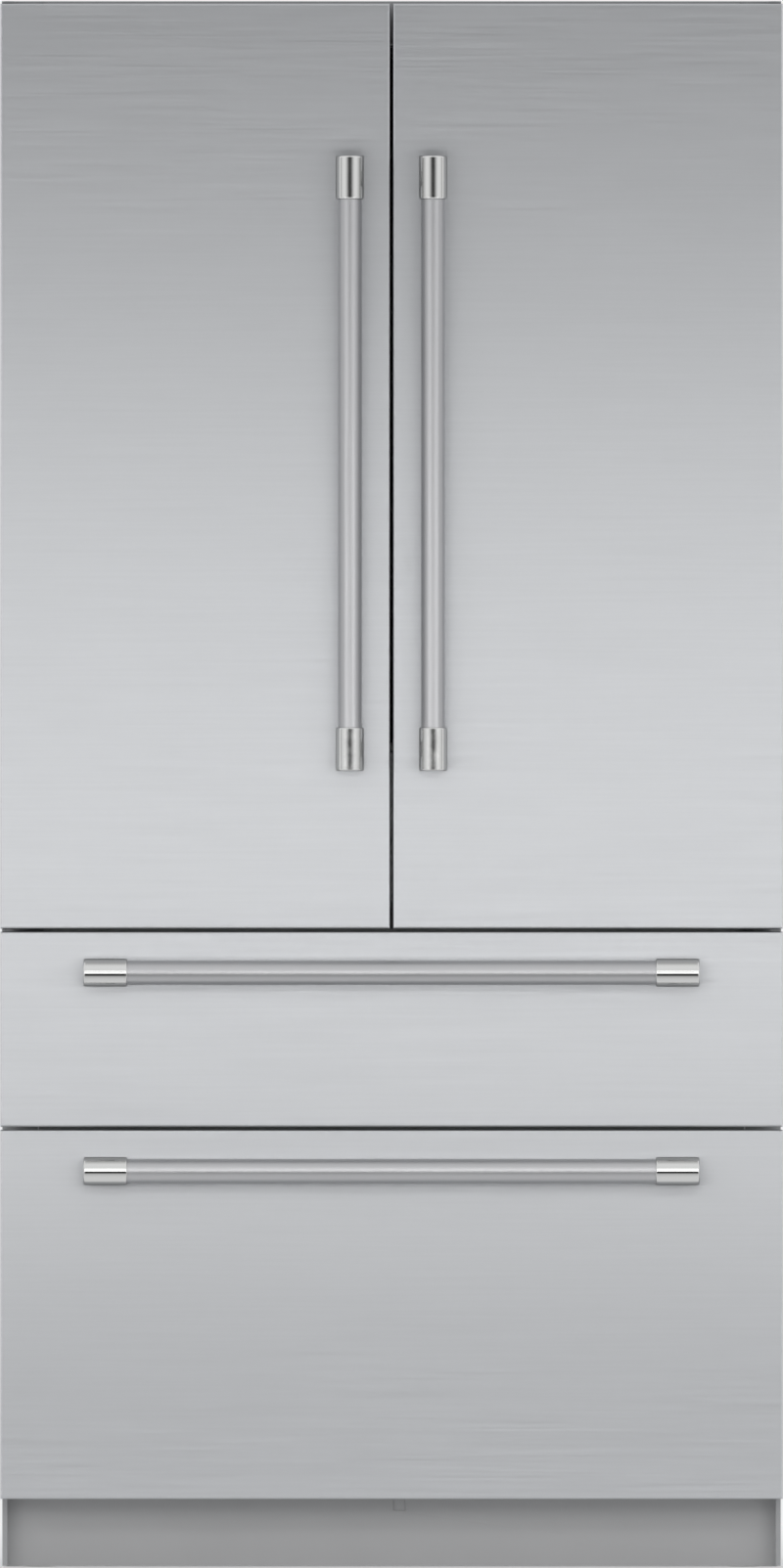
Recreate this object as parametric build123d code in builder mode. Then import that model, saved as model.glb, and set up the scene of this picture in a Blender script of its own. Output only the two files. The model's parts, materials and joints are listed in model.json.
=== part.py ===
from build123d import *
import os
from math import hypot

# A built-in fridge freezer: two refrigerator doors over two full-width freezer drawers.
# Millimetres. X runs to the right of someone facing it, Y to the back, Z up from the floor.
# The origin is on the floor, in the middle of the whole appliance with its handles.

os.makedirs("parts", exist_ok=True)

# Fronts
front_width = 1060.0            # both doors together, and each drawer front
kick_height = 94.5              # floor to the lower drawer front
lower_front_height = 500.0
upper_front_height = 264.4
door_height = 1253.6
front_gap = 4.2                 # between one front and the next above it
centre_gap = 4.0                # between the two doors
header_height = 5.0             # cabinet trim that shows above the doors
body_depth = 629.0              # door faces to the back, without the handles
front_thickness = 70.0
front_edge_radius = 2.5
skin = 1.2                      # stainless sheet of the doors and drawer fronts

# Cabinet
cabinet_inset = 2.0             # side panels in from the edges of the fronts
sheet = 1.0                     # painted sheet of the wrapper and back
liner = 2.0                     # plastic of the liners
side_wall = 50.0
top_wall = 57.0
floor_wall = 46.0
back_wall = 50.0
liner_corner_radius = 14.0
rail_depth = 40.0
rail_wall = 2.0

# Seals
gasket_depth = 12.0             # front slab to cabinet frame
gasket_width = 14.0
gasket_inset = 8.0              # from the edge of a front
gasket_side_inset = 18.0        # from an edge that faces the room
gasket_radius = 2.0
seal_land = 5.0                 # cabinet face beyond the seal
running_gap = 0.3

# Machine compartment, at the bottom of the back
machine_height = 236.0
machine_depth = 200.0
deck = 2.0                      # sheet of the base
base_side = 3.0
pan_height = 54.0

# Plinth
kick_setback = 28.0             # behind the cabinet frame
kick_clearance = 1.0            # above the floor
kick_sheet = 2.0
kick_strip = 6.6                # flange of the side panel beside the plinth
kick_side_gap = 0.4
notch_width = 16.5
notch_depth = 18.0
notch_offset = 10.6

# Door hinges
hinge_side_offset = 11.5        # pin centre from the door's outer edge
hinge_depth = 20.0              # pin centre behind the door face
hinge_plate = 3.0
pin_radius = 5.0
pin_length = 22.0
pin_clearance = 0.05
hinge_nose = 10.0
hinge_block = 28.0
hinge_block_end = 4.0           # beyond the pin
hinge_plate_width = 56.0
hinge_flange_reach = 7.0        # behind a front's edge, clear of the gasket
plate_clearance = 0.6

# Inner door
dike_depth = 70.0
dike_width = 22.0
dike_clearance = 8.0
dike_floor_clearance = 5.0
dike_centre_offset = 38.0
door_bin_depth = 115.0
door_bin_wall = 3.0
door_bin_height = 115.0
door_bin_rises = (0.0, 360.0, 720.0)

# Flipping mullion on the left door
mullion_width = 54.0
mullion_thickness = 16.0
mullion_pivot_inset = 4.0
mullion_pivot_depth = 10.0
mullion_pin_radius = 2.5
mullion_pin_length = 8.0
mullion_plate = 3.0
mullion_plate_width = 14.0
mullion_plate_inset = 1.0       # from the ends of the raised frame
mullion_chamfer = 1.0
mullion_reach = 26.0            # past the middle of the appliance when it seals

# Handles
handle_length = 833.0
handle_end_length = 59.0
handle_end_radius = 18.8
handle_end_edge = 2.2
handle_bar_radius = 16.3
handle_bar_wall = 2.0
handle_socket = 45.0
handle_fit = 0.05
handle_standoff = 47.0          # bar axis in front of the face
handle_post_radius = 10.0
handle_foot_radius = 13.0
handle_foot_thickness = 3.0
handle_from_centre = 56.3
handle_rise = 630.2             # middle of a door handle above the door's lower edge
handle_drop = 55.2              # drawer handle below the front's upper edge

# Fridge fittings
shelf_setback = 215.0           # shelf fronts behind the door faces
shelf_back_gap = 4.0            # to the vent panel
shelf_side_gap = 8.0
shelf_rim = 10.0
shelf_rim_height = 12.0
shelf_ledge = 6.0
glass = 4.0
lid_rise = 226.0                # crisper lid above the fridge floor
left_shelf_rises = (440.0, 660.0, 905.0)
right_shelf_rises = (500.0, 760.0, 960.0)
bracket_sheet = 2.0
bracket_height = 30.0
bracket_nose = 12.0
bracket_inset = 6.0
bracket_setback = 60.0
track_width = 16.0
track_thickness = 3.0
track_drop = 105.6              # below the fridge ceiling
track_slot = 10.0
track_slot_width = 4.0
track_pitch = 40.0
track_slot_end = 60.0           # first and last slot from the ends
track_rise = 40.0               # above the crisper lid
vent_panel_width = 400.0
vent_panel_thickness = 10.0
crisper_height = 190.0
crisper_wall = 2.5
crisper_back_gap = 8.0
crisper_centre_gap = 6.0
crisper_divider = 4.0
crisper_grip = 14.0
crisper_grip_height = 26.0
crisper_grip_inset = 60.0
ledge_width = 14.0
ledge_height = 8.0
console_width = 280.0
console_depth = 120.0
console_height = 14.0
console_setback = 205.0
console_chamfer = 4.0

# Freezer drawers
runner_back_gap = 7.0           # to the evaporator cover
runner_setback = 8.0            # behind the cabinet frame
runner_height = 45.0
runner_member = 4.0
runner_sheet = 1.6
upper_runner_rise = 32.0        # bottom of the runner above the rail or liner step below it
lower_runner_rise = 26.0
frame_sheet = 2.0
upper_seat_drop = 26.4          # top of the side frames below the divider or rail
lower_seat_drop = 47.5
frame_foot = 20.0
tie_depth = 6.0
tie_height = 20.0
bin_wall = 2.5
bin_side_gap = 8.0
bin_rim = 3.0
bin_overhang = 1.0              # of the rim past the side frame
bin_end_gap = 15.0
upper_bin_gap = 6.0             # below the bins, to the rail or the liner's floor
lower_bin_gap = 8.5
bin_step_clearance = 20.0
bin_between = 0.8               # between the deep bin and the shallow one behind it
inner_panel = 8.0
inner_panel_inset = 8.0
inner_panel_radius = 6.0

# Air and refrigeration
air_cover = 2.0
air_cover_gap = 50.0            # freezer back wall to cover
freezer_fan_radius = 50.0
freezer_fan_drop = 99.1         # below the freezer ceiling
fan_post_radius = 4.0
fan_hub_radius = 18.0
shaft_radius = 3.0
shaft_clearance = 0.05
condenser_fan_rim = 12.0        # of the shroud outside the fan
compressor_radius = 72.0
compressor_height = 138.0
compressor_side = 198.0         # from the side panel to the compressor's middle
compressor_grommet = 10.0
compressor_foot = 3.0
pipe_radius = 3.2
fin = 1.0

# Feet and rollers
foot_side = 50.0                # from the side panel
foot_setback = 38.0             # behind the plinth
foot_pad_radius = 22.0
foot_pad_height = 10.0
foot_stud_radius = 6.0
foot_stud_length = 80.0
foot_clearance = 0.05
foot_bracket_rise = 42.0
foot_bracket_height = 14.0
roller_radius = 25.0
roller_width = 22.0
roller_side = 58.0
roller_from_back = 46.0
axle_radius = 4.0
axle_clearance = 0.05
axle_end = 2.0                  # beyond the fork

# Fixing plates on the cabinet top
fixing_plate = 3.0
fixing_width = 100.0
fixing_depth = 60.0
fixing_side = 128.0             # from the side panel
fixing_hole_radius = 4.0
fixing_hole_spacing = 60.0

# Levels
lower_bottom = kick_height
lower_top = lower_bottom + lower_front_height
upper_bottom = lower_top + front_gap
upper_top = upper_bottom + upper_front_height
door_bottom = upper_top + front_gap
door_top = door_bottom + door_height
total_height = door_top + header_height
cabinet_top = total_height - fixing_plate
seal_reach = gasket_inset + gasket_width + seal_land
rail_bottom = lower_top - seal_reach
rail_top = upper_bottom + seal_reach
divider_bottom = upper_top - seal_reach
divider_top = door_bottom + seal_reach
freezer_floor = kick_height + floor_wall
freezer_ceiling = divider_bottom
fridge_floor = divider_top
fridge_ceiling = cabinet_top - top_wall
step_floor = machine_height + deck + floor_wall - liner
deck_top = kick_height + deck

# Depths
handle_reach = handle_standoff + handle_end_radius
face = (handle_reach - body_depth) / 2
slab_back = face + front_thickness
frame = slab_back + gasket_depth
seal_face = frame - running_gap
back = face + body_depth
back_in = back - sheet
liner_back = back - back_wall
machine_front = back - machine_depth
step_face = machine_front - floor_wall
liner_back_in = liner_back - liner
cover_face = liner_back_in - air_cover_gap
vent_face = liner_back_in - vent_panel_thickness
handle_axis = face - handle_standoff

# Half widths
half_front = front_width / 2
half_cabinet = half_front - cabinet_inset
half_foam = half_cabinet - sheet
half_inside = half_cabinet - side_wall
half_liner = half_inside + liner
half_gap = centre_gap / 2
half_base = half_foam - base_side
fixing_x = half_cabinet - fixing_side
hinge_u = half_front - hinge_side_offset
hinge_y = face + hinge_depth

SIDES = (("left", -1), ("right", 1))


def block(x, y, z, mode=Mode.ADD):
    """A box between two corners, each range given as (one end, the other)."""
    centre = ((x[0] + x[1]) / 2, (y[0] + y[1]) / 2, (z[0] + z[1]) / 2)
    with Locations(centre):
        Box(abs(x[1] - x[0]), abs(y[1] - y[0]), abs(z[1] - z[0]), mode=mode)


def rod(origin, direction, radius, length, mode=Mode.ADD):
    """A round bar that starts at origin and runs along direction."""
    with BuildSketch(Plane(origin=origin, z_dir=direction)) as profile:
        Circle(radius)
    extrude(profile.sketch, amount=length, mode=mode)


def ring(x, z, y, width, mode=Mode.ADD):
    """A rectangular frame seen from the front, of the given width of section."""
    with BuildSketch(Plane.XZ.offset(-max(y))) as profile:
        with Locations(((x[0] + x[1]) / 2, (z[0] + z[1]) / 2)):
            Rectangle(abs(x[1] - x[0]), abs(z[1] - z[0]))
            Rectangle(abs(x[1] - x[0]) - 2 * width, abs(z[1] - z[0]) - 2 * width,
                      mode=Mode.SUBTRACT)
    extrude(profile.sketch, amount=abs(y[1] - y[0]), mode=mode)


def loose_blocks(boxes):
    """Boxes that may meet face to face and yet stay separate solids."""
    solids = []
    for x, y, z in boxes:
        with BuildPart() as piece:
            block(x, y, z)
        solids += piece.part.solids()
    return solids


# Outer wrapper: side panels, top and the face that the seals meet
with BuildPart() as outer_wrapper:
    with BuildSketch(Plane.XZ.offset(-frame)):
        with Locations((0, cabinet_top / 2 + kick_clearance)):
            Rectangle(2 * half_cabinet, cabinet_top - 2 * kick_clearance)
        with Locations((0, cabinet_top / 2 - sheet)):
            Rectangle(2 * half_foam, cabinet_top, mode=Mode.SUBTRACT)
    extrude(amount=-(back_in - frame))
    flange = (frame, frame + sheet)
    for _, side in SIDES:
        block((side * half_liner, side * half_cabinet), flange, (kick_height, total_height))
        block((side * (half_cabinet - kick_strip), side * half_cabinet), flange,
              (2 * kick_clearance, kick_height))
    block((-half_liner, half_liner), flange, (fridge_ceiling + liner, total_height))
    for _, side in SIDES:
        for hole_side in (-1, 1):
            rod((side * fixing_x + hole_side * fixing_hole_spacing / 2,
                 back - fixing_depth / 2, cabinet_top), (0, 0, -1),
                fixing_hole_radius, sheet, Mode.SUBTRACT)

outer_wrapper.part.label = "outer_wrapper"
export_step(outer_wrapper.part, "parts/outer_wrapper.step")

# Back panel, over the foam
with BuildPart() as back_panel:
    block((-half_cabinet, half_cabinet), (back_in, back), (machine_height + deck, cabinet_top))

back_panel.part.label = "back_panel"
export_step(back_panel.part, "parts/back_panel.step")

# Machine cover, with rows of air slots and the window for the mains inlet
inlet_side = 338.0              # from the side panel
inlet_x = half_cabinet - inlet_side
inlet_z = 150.0
inlet_width = 30.0
inlet_height = 24.0
inlet_gap = 0.5
cover_slot = 60.0
cover_slot_width = 5.0
cover_pitch_x = 76.0
cover_pitch_z = 14.0
cover_columns = 3
cover_rows = 8
cover_slots_side = 168.0
cover_slots_x = half_cabinet - cover_slots_side
cover_drop = 20.0               # below the pan
with BuildPart() as machine_cover:
    block((-half_cabinet, half_cabinet), (back_in, back),
          (pan_height - cover_drop, machine_height + deck))
    for _, side in SIDES:
        with BuildSketch(Plane.XZ.offset(-back)):
            with Locations((side * cover_slots_x, (pan_height + machine_height) / 2)):
                with GridLocations(cover_pitch_x, cover_pitch_z, cover_columns, cover_rows):
                    SlotOverall(cover_slot, cover_slot_width)
        extrude(amount=sheet, mode=Mode.SUBTRACT)
    block((inlet_x - inlet_width / 2 - inlet_gap, inlet_x + inlet_width / 2 + inlet_gap),
          (back_in, back),
          (inlet_z - inlet_height / 2 - inlet_gap, inlet_z + inlet_height / 2 + inlet_gap),
          Mode.SUBTRACT)

machine_cover.part.label = "machine_cover"
export_step(machine_cover.part, "parts/machine_cover.step")

# Base frame of welded sheet: side plates, deck under the foam, compressor pan, brackets
roller_y = back - roller_from_back
roller_fork = 3.0
roller_fork_gap = 2.0
fork_foot = 12.0
fork_depth = 32.0
foot_bracket = 44.0
kick_tab = 24.0
kick_back = frame + kick_setback + kick_sheet
foot_x = half_cabinet - foot_side
foot_y = kick_back + foot_setback
roller_x = half_cabinet - roller_side
base_blocks = [
    ((-half_foam, half_foam), (frame + sheet, machine_front), (kick_height, deck_top)),
    ((-half_base, half_base), (machine_front, machine_front + deck),
     (pan_height + deck, machine_height)),
    ((-half_foam, half_foam), (machine_front, back_in), (machine_height, machine_height + deck)),
    ((-half_base, half_base), (machine_front, back_in), (pan_height, pan_height + deck)),
]
base_solids = []
for _, side in SIDES:
    plate = (side * half_base, side * half_foam)
    base_blocks += [
        (plate, (frame + sheet, machine_front), (2 * kick_clearance, kick_height)),
        (plate, (machine_front, back_in), (2 * kick_clearance, machine_height)),
        ((side * (half_base - kick_tab), side * half_base), (kick_back, kick_back + deck),
         (foot_pad_height, kick_height)),
    ]
    with BuildPart() as foot_bracket_part:
        block((side * (foot_x - foot_bracket / 2), side * half_base),
              (foot_y - foot_bracket / 2, foot_y + foot_bracket / 2),
              (foot_bracket_rise, foot_bracket_rise + foot_bracket_height))
        rod((side * foot_x, foot_y, foot_bracket_rise), (0, 0, 1),
            foot_stud_radius + foot_clearance, foot_bracket_height, Mode.SUBTRACT)
    base_solids += foot_bracket_part.part.solids()
    for inner in (-1, 1):
        near = side * roller_x + inner * (roller_width / 2 + roller_fork_gap)
        with BuildPart() as fork:
            block((near, near + inner * roller_fork),
                  (roller_y - fork_depth / 2, roller_y + fork_depth / 2),
                  (roller_radius - fork_foot, pan_height))
            rod((near - roller_fork, roller_y, roller_radius), (1, 0, 0),
                axle_radius + axle_clearance, 2 * roller_fork, Mode.SUBTRACT)
        base_solids += fork.part.solids()
base_frame = Compound(children=loose_blocks(base_blocks) + base_solids)
base_frame.label = "base_frame"
export_step(base_frame, "parts/base_frame.step")

# Foamed insulation, slab by slab
inside = (-half_liner, half_liner)
foam_boxes = [
    (inside, (frame + sheet, back_in), (fridge_ceiling + liner, cabinet_top - sheet)),
    (inside, (liner_back, back_in), (machine_height + deck, fridge_ceiling + liner)),
    (inside, (frame + sheet, liner_back), (divider_bottom + liner, divider_top - liner)),
    (inside, (frame + sheet, step_face), (deck_top, freezer_floor - liner)),
    (inside, (step_face, machine_front), (deck_top, step_floor - liner)),
    (inside, (machine_front, liner_back), (machine_height + deck, step_floor - liner)),
]
for _, side in SIDES:
    wall = (side * half_liner, side * half_foam)
    foam_boxes += [
        (wall, (frame + sheet, machine_front), (deck_top, machine_height + deck)),
        (wall, (frame + sheet, back_in), (machine_height + deck, cabinet_top - sheet)),
    ]
cabinet_insulation = Compound(children=loose_blocks(foam_boxes))
cabinet_insulation.label = "cabinet_insulation"
export_step(cabinet_insulation, "parts/cabinet_insulation.step")

# Fridge liner, with the two ledges that carry the crisper lid
lid_level = fridge_floor + lid_rise
shelf_front = face + shelf_setback
shelf_back = vent_face - shelf_back_gap
with BuildPart() as fridge_liner:
    block((-half_liner, half_liner), (frame + sheet, liner_back),
          (fridge_floor - liner, fridge_ceiling + liner))
    with BuildSketch(Plane.XZ.offset(-frame - sheet)):
        with Locations((0, (fridge_floor + fridge_ceiling) / 2)):
            RectangleRounded(2 * half_inside, fridge_ceiling - fridge_floor, liner_corner_radius)
    extrude(amount=-(liner_back_in - frame - sheet), mode=Mode.SUBTRACT)
    for _, side in SIDES:
        block((side * (half_inside - ledge_width), side * half_inside),
              (shelf_front, shelf_back),
              (lid_level - shelf_rim_height - ledge_height, lid_level - shelf_rim_height))

fridge_liner.part.label = "fridge_liner"
export_step(fridge_liner.part, "parts/fridge_liner.step")

# Freezer liner, which steps up over the machine compartment
with BuildPart() as freezer_liner:
    for half, grow, front, mode in (
        (half_liner, liner, frame + sheet, Mode.ADD),
        (half_inside, 0.0, frame, Mode.SUBTRACT),
    ):
        with BuildSketch(Plane.YZ.offset(-half)):
            with BuildLine():
                Polyline(
                    (front, freezer_floor - grow),
                    (step_face - liner + grow, freezer_floor - grow),
                    (step_face - liner + grow, step_floor - grow),
                    (liner_back_in + grow, step_floor - grow),
                    (liner_back_in + grow, freezer_ceiling + grow),
                    (front, freezer_ceiling + grow),
                    close=True,
                )
            make_face()
        extrude(amount=2 * half, mode=mode)

freezer_liner.part.label = "freezer_liner"
export_step(freezer_liner.part, "parts/freezer_liner.step")

# Cross rails: floor plate, box rail between the drawers, and the divider face
with BuildPart() as cross_rails:
    block((-half_liner, half_liner), (frame, frame + sheet), (kick_height, freezer_floor))
    block((-half_liner, half_liner), (frame, frame + sheet), (divider_bottom, divider_top))
    block((-half_inside, half_inside), (frame, frame + rail_depth), (rail_bottom, rail_top))
    block((-half_inside, half_inside), (frame + rail_wall, frame + rail_depth - rail_wall),
          (rail_bottom + rail_wall, rail_top - rail_wall), Mode.SUBTRACT)

cross_rails.part.label = "cross_rails"
export_step(cross_rails.part, "parts/cross_rails.step")

# Plinth plate, with its finger notch
with BuildPart() as toe_kick:
    kick_half = half_base - kick_side_gap
    kick_y = (frame + kick_setback, kick_back)
    block((-kick_half, kick_half), kick_y, (kick_clearance, kick_height - running_gap))
    block((notch_offset - notch_width / 2, notch_offset + notch_width / 2), kick_y,
          (kick_height - notch_depth, kick_height), Mode.SUBTRACT)

toe_kick.part.label = "toe_kick"
export_step(toe_kick.part, "parts/toe_kick.step")

# Hinge plates and pins. Each is an angle screwed to the cabinet face, with a round nose.
top_plate = (door_top + plate_clearance, door_top + plate_clearance + hinge_plate)
low_plate = (upper_top + plate_clearance, upper_top + plate_clearance + hinge_plate)
with BuildPart() as door_hinges:
    for _, side in SIDES:
        pin_x = side * hinge_u
        inner_x = side * (half_cabinet - hinge_plate_width)
        for plate, pin_up in ((top_plate, -1), (low_plate, 1)):
            with BuildSketch(Plane.XY.offset(plate[0])):
                with BuildLine():
                    Polyline(
                        (pin_x - side * hinge_nose, hinge_y),
                        (inner_x, frame - hinge_plate),
                        (inner_x, frame),
                        (side * half_cabinet, frame),
                        (side * half_cabinet, hinge_y),
                        close=True,
                    )
                make_face()
                with Locations((pin_x, hinge_y)):
                    Circle(side * (half_cabinet * side - pin_x))
            extrude(amount=hinge_plate)
            start = plate[1] if pin_up > 0 else plate[0]
            rod((pin_x, hinge_y, start), (0, 0, pin_up), pin_radius, pin_length)
        block((inner_x, side * half_cabinet), (frame - hinge_plate, frame),
              (door_top - hinge_flange_reach, top_plate[1]))
        block((inner_x, side * half_cabinet), (frame - hinge_plate, frame),
              (upper_top - hinge_flange_reach, low_plate[1] + hinge_flange_reach))

door_hinges.part.label = "door_hinges"
export_step(door_hinges.part, "parts/door_hinges.step")

# Fixing plates on the cabinet top, drilled for a wall bracket
with BuildPart() as anti_tip_plates:
    for _, side in SIDES:
        block((side * fixing_x - fixing_width / 2, side * fixing_x + fixing_width / 2),
              (back - fixing_depth, back), (cabinet_top, total_height))
        for hole_side in (-1, 1):
            rod((side * fixing_x + hole_side * fixing_hole_spacing / 2,
                 back - fixing_depth / 2, total_height), (0, 0, -1),
                fixing_hole_radius, fixing_plate, Mode.SUBTRACT)

anti_tip_plates.part.label = "anti_tip_plates"
export_step(anti_tip_plates.part, "parts/anti_tip_plates.step")

# Compressor: pot on a foot plate and four grommets, with its terminal cover
machine_y = (machine_front + deck + back_in) / 2
compressor_x = half_cabinet - compressor_side
pan_top = pan_height + deck
foot_level = pan_top + compressor_grommet
pot_bottom = foot_level + compressor_foot
plate_half_x = 90.0
plate_half_y = 60.0
pot_rounding = 30.0
grommet_radius = 11.0
grommet_inset = 14.0
terminal_depth = 16.0
terminal_half = 24.0
terminal_rise = 40.0
terminal_height = 56.0
terminal_z = (pot_bottom + terminal_rise, pot_bottom + terminal_rise + terminal_height)
with BuildPart() as compressor:
    block((compressor_x - plate_half_x, compressor_x + plate_half_x),
          (machine_y - plate_half_y, machine_y + plate_half_y), (foot_level, pot_bottom))
    with BuildSketch(Plane.XY.offset(pot_bottom)):
        with Locations((compressor_x, machine_y)):
            Circle(compressor_radius)
    extrude(amount=compressor_height)
    fillet(compressor.edges().filter_by(GeomType.CIRCLE).group_by(Axis.Z)[-1], pot_rounding)
    for dx in (grommet_inset - plate_half_x, plate_half_x - grommet_inset):
        for dy in (grommet_inset - plate_half_y, plate_half_y - grommet_inset):
            rod((compressor_x + dx, machine_y + dy, pan_top), (0, 0, 1), grommet_radius,
                compressor_grommet)
    pot_side = compressor_x - compressor_radius
    block((pot_side - terminal_depth, pot_side + terminal_depth / 2),
          (machine_y - terminal_half, machine_y + terminal_half), terminal_z)

compressor.part.label = "compressor"
export_step(compressor.part, "parts/compressor.step")


def finned_coil(x, y, z, fins, fin_along_x, tube_rows, tube_columns):
    """Thin fins on a bank of straight tubes, inside the given box."""
    span = x if fin_along_x else y
    pitch = (span[1] - span[0] - fin) / (fins - 1)
    for index in range(fins):
        start = span[0] + index * pitch
        if fin_along_x:
            block((start, start + fin), y, z)
        else:
            block(x, (start, start + fin), z)
    depth = y if fin_along_x else x
    for row in range(tube_rows):
        level = z[0] + (row + 0.5) * (z[1] - z[0]) / tube_rows
        for column in range(tube_columns):
            across = depth[0] + (column + 0.5) * (depth[1] - depth[0]) / tube_columns
            if fin_along_x:
                rod((x[0], across, level), (1, 0, 0), pipe_radius, x[1] - x[0])
            else:
                rod((across, y[0], level), (0, 1, 0), pipe_radius, y[1] - y[0])


# Condenser, standing on the pan, with the discharge pipe from the compressor
coil_side_gap = 16.0
coil_width = 156.0
coil_front_gap = 6.0
coil_back_gap = 20.0
coil_top_gap = 16.0
coil_fins = 20
coil_rows = 5
coil_columns = 4
coil_x = (coil_side_gap - half_base, coil_side_gap - half_base + coil_width)
coil_y = (machine_front + deck + coil_front_gap, back_in - coil_back_gap)
coil_z = (pan_top, machine_height - coil_top_gap)
coil_middle = (coil_y[0] + coil_y[1]) / 2
pipe_rise = 20.0
pipe_inset = 40.0
pipe_bend = 9.0
pipe_level = pot_bottom + pipe_rise
pipe_y = back_in - pipe_bend
pipe_start = coil_x[1] - pipe_inset
with BuildPart() as condenser:
    finned_coil(coil_x, coil_y, coil_z, coil_fins, False, coil_rows, coil_columns)
    with BuildLine() as pipe_path:
        FilletPolyline(
            (pipe_start, coil_y[1], pipe_level),
            (pipe_start, pipe_y, pipe_level),
            (compressor_x, pipe_y, pipe_level),
            (compressor_x, machine_y + compressor_radius, pipe_level),
            radius=pipe_bend,
        )
    with BuildSketch(Plane(origin=pipe_path.line @ 0, z_dir=pipe_path.line % 0)):
        Circle(pipe_radius)
    sweep(path=pipe_path.line)

condenser.part.label = "condenser"
export_step(condenser.part, "parts/condenser.step")

# Condenser fan shroud, with the motor on three struts
shroud_depth = 8.0
shroud_wall = 3.0
shroud_top_gap = 8.0
shroud_top = machine_height - shroud_top_gap
shroud_x = coil_x[1] + shroud_depth
shroud_face = shroud_x + shroud_wall
fan_gap = 6.0
fan_tip_gap = 4.0
fan_depth = 22.0
fan_x = shroud_face + fan_gap
motor_x = fan_x + fan_depth + fan_gap
motor_radius = 24.0
motor_length = 34.0
strut_half = 6.0
strut_thickness = 6.0
strut_gap = 8.0                 # outside the fan
condenser_fan_radius = (shroud_top - pan_top) / 2 - condenser_fan_rim
strut_reach = condenser_fan_radius + strut_gap
condenser_shaft = 20.0
fan_z = (pan_top + machine_height) / 2
strut_z = (fan_z - strut_half, fan_z + strut_half)
with BuildPart() as condenser_fan_shroud:
    block((coil_x[1], shroud_face), coil_y, (pan_top, shroud_top))
    block((coil_x[1], shroud_x), (coil_y[0] + shroud_wall, coil_y[1] - shroud_wall),
          (pan_top + shroud_wall, shroud_top - shroud_wall), Mode.SUBTRACT)
    rod((coil_x[1], coil_middle, fan_z), (1, 0, 0), condenser_fan_radius + fan_tip_gap,
        shroud_face - coil_x[1], Mode.SUBTRACT)
    rod((motor_x, coil_middle, fan_z), (1, 0, 0), motor_radius, motor_length)
    for dy in (-1, 1):
        strut_y = coil_middle + dy * strut_reach
        block((shroud_face, motor_x + strut_thickness),
              (strut_y - strut_thickness / 2, strut_y + strut_thickness / 2), strut_z)
    block((motor_x, motor_x + strut_thickness),
          (coil_middle - strut_reach, coil_middle + strut_reach), strut_z)
    rod((motor_x, coil_middle, fan_z), (1, 0, 0), shaft_radius + shaft_clearance,
        condenser_shaft, Mode.SUBTRACT)

condenser_fan_shroud.part.label = "condenser_fan_shroud"
export_step(condenser_fan_shroud.part, "parts/condenser_fan_shroud.step")


blade_pitch = 35.0
blade_sheet = 2.0
blade_root = 2.0                # of each blade inside the hub
blade_chord = 1.25              # of the hub's depth


def fan_wheel(plane, radius, hub_radius, depth, blades, shaft):
    """Hub, pitched blades and shaft, built up from the given plane."""
    blade = radius - hub_radius + blade_root
    with BuildSketch(plane) as hub:
        Circle(hub_radius)
    extrude(hub.sketch, amount=depth)
    with Locations(plane.offset(depth / 2)):
        with PolarLocations(radius - blade / 2, blades):
            Box(blade, depth * blade_chord, blade_sheet, rotation=(blade_pitch, 0, 0))
    with BuildSketch(plane.offset(depth)) as pin:
        Circle(shaft_radius)
    extrude(pin.sketch, amount=shaft)


# Condenser fan
condenser_hub = 20.0
condenser_blades = 5
with BuildPart() as condenser_fan:
    fan_wheel(Plane(origin=(fan_x, coil_middle, fan_z), z_dir=(1, 0, 0)),
              condenser_fan_radius, condenser_hub, fan_depth, condenser_blades, condenser_shaft)

condenser_fan.part.label = "condenser_fan"
export_step(condenser_fan.part, "parts/condenser_fan.step")

# Control box with the mains inlet, on the compressor pan
control_inner = 80.0            # inlet to the box's two sides
control_outer = 24.0
control_x = (inlet_x - control_inner, inlet_x + control_outer)
control_back_gap = 14.0
control_depth = 60.0
control_rise = 40.0
control_top = inlet_z + control_rise
inlet_wall = 3.0
inlet_socket = 12.0
with BuildPart() as control_box:
    control_back = back_in - control_back_gap
    inlet_half = inlet_width / 2
    inlet_rise = inlet_height / 2
    block(control_x, (control_back - control_depth, control_back), (pan_top, control_top))
    block((inlet_x - inlet_half, inlet_x + inlet_half), (control_back, back),
          (inlet_z - inlet_rise, inlet_z + inlet_rise))
    block((inlet_x - inlet_half + inlet_wall, inlet_x + inlet_half - inlet_wall),
          (back - inlet_socket, back),
          (inlet_z - inlet_rise + inlet_wall, inlet_z + inlet_rise - inlet_wall), Mode.SUBTRACT)

control_box.part.label = "control_box"
export_step(control_box.part, "parts/control_box.step")

# Air covers: vent panel in the fridge, evaporator cover with its fan mount in the freezer
fan_level = freezer_ceiling - freezer_fan_drop
freezer_fan_gap = 4.0
freezer_fan_depth = 18.0
freezer_shaft = 12.0
fan_mount_sheet = 3.0
freezer_fan_y = cover_face + air_cover + freezer_fan_gap
fan_mount_y = freezer_fan_y + freezer_fan_depth + freezer_fan_gap
vent_rise = 20.0
vent_drop = 6.0
vent_bottom = lid_level + vent_rise
vent_top = fridge_ceiling - vent_drop
vent_slot = 80.0
vent_slot_width = 8.0
vent_slot_depth = 6.0
vent_slot_x = 110.0
vent_pitch = 150.0
vent_rows = 5
outlet_slot_width = 6.0
outlet_pitch = 12.0
outlet_rows = 7
return_slot = 60.0
return_pitch = 90.0
return_columns = 7
return_rise = 30.0
post_gap = 10.0
post_offset = freezer_fan_radius + post_gap
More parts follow.
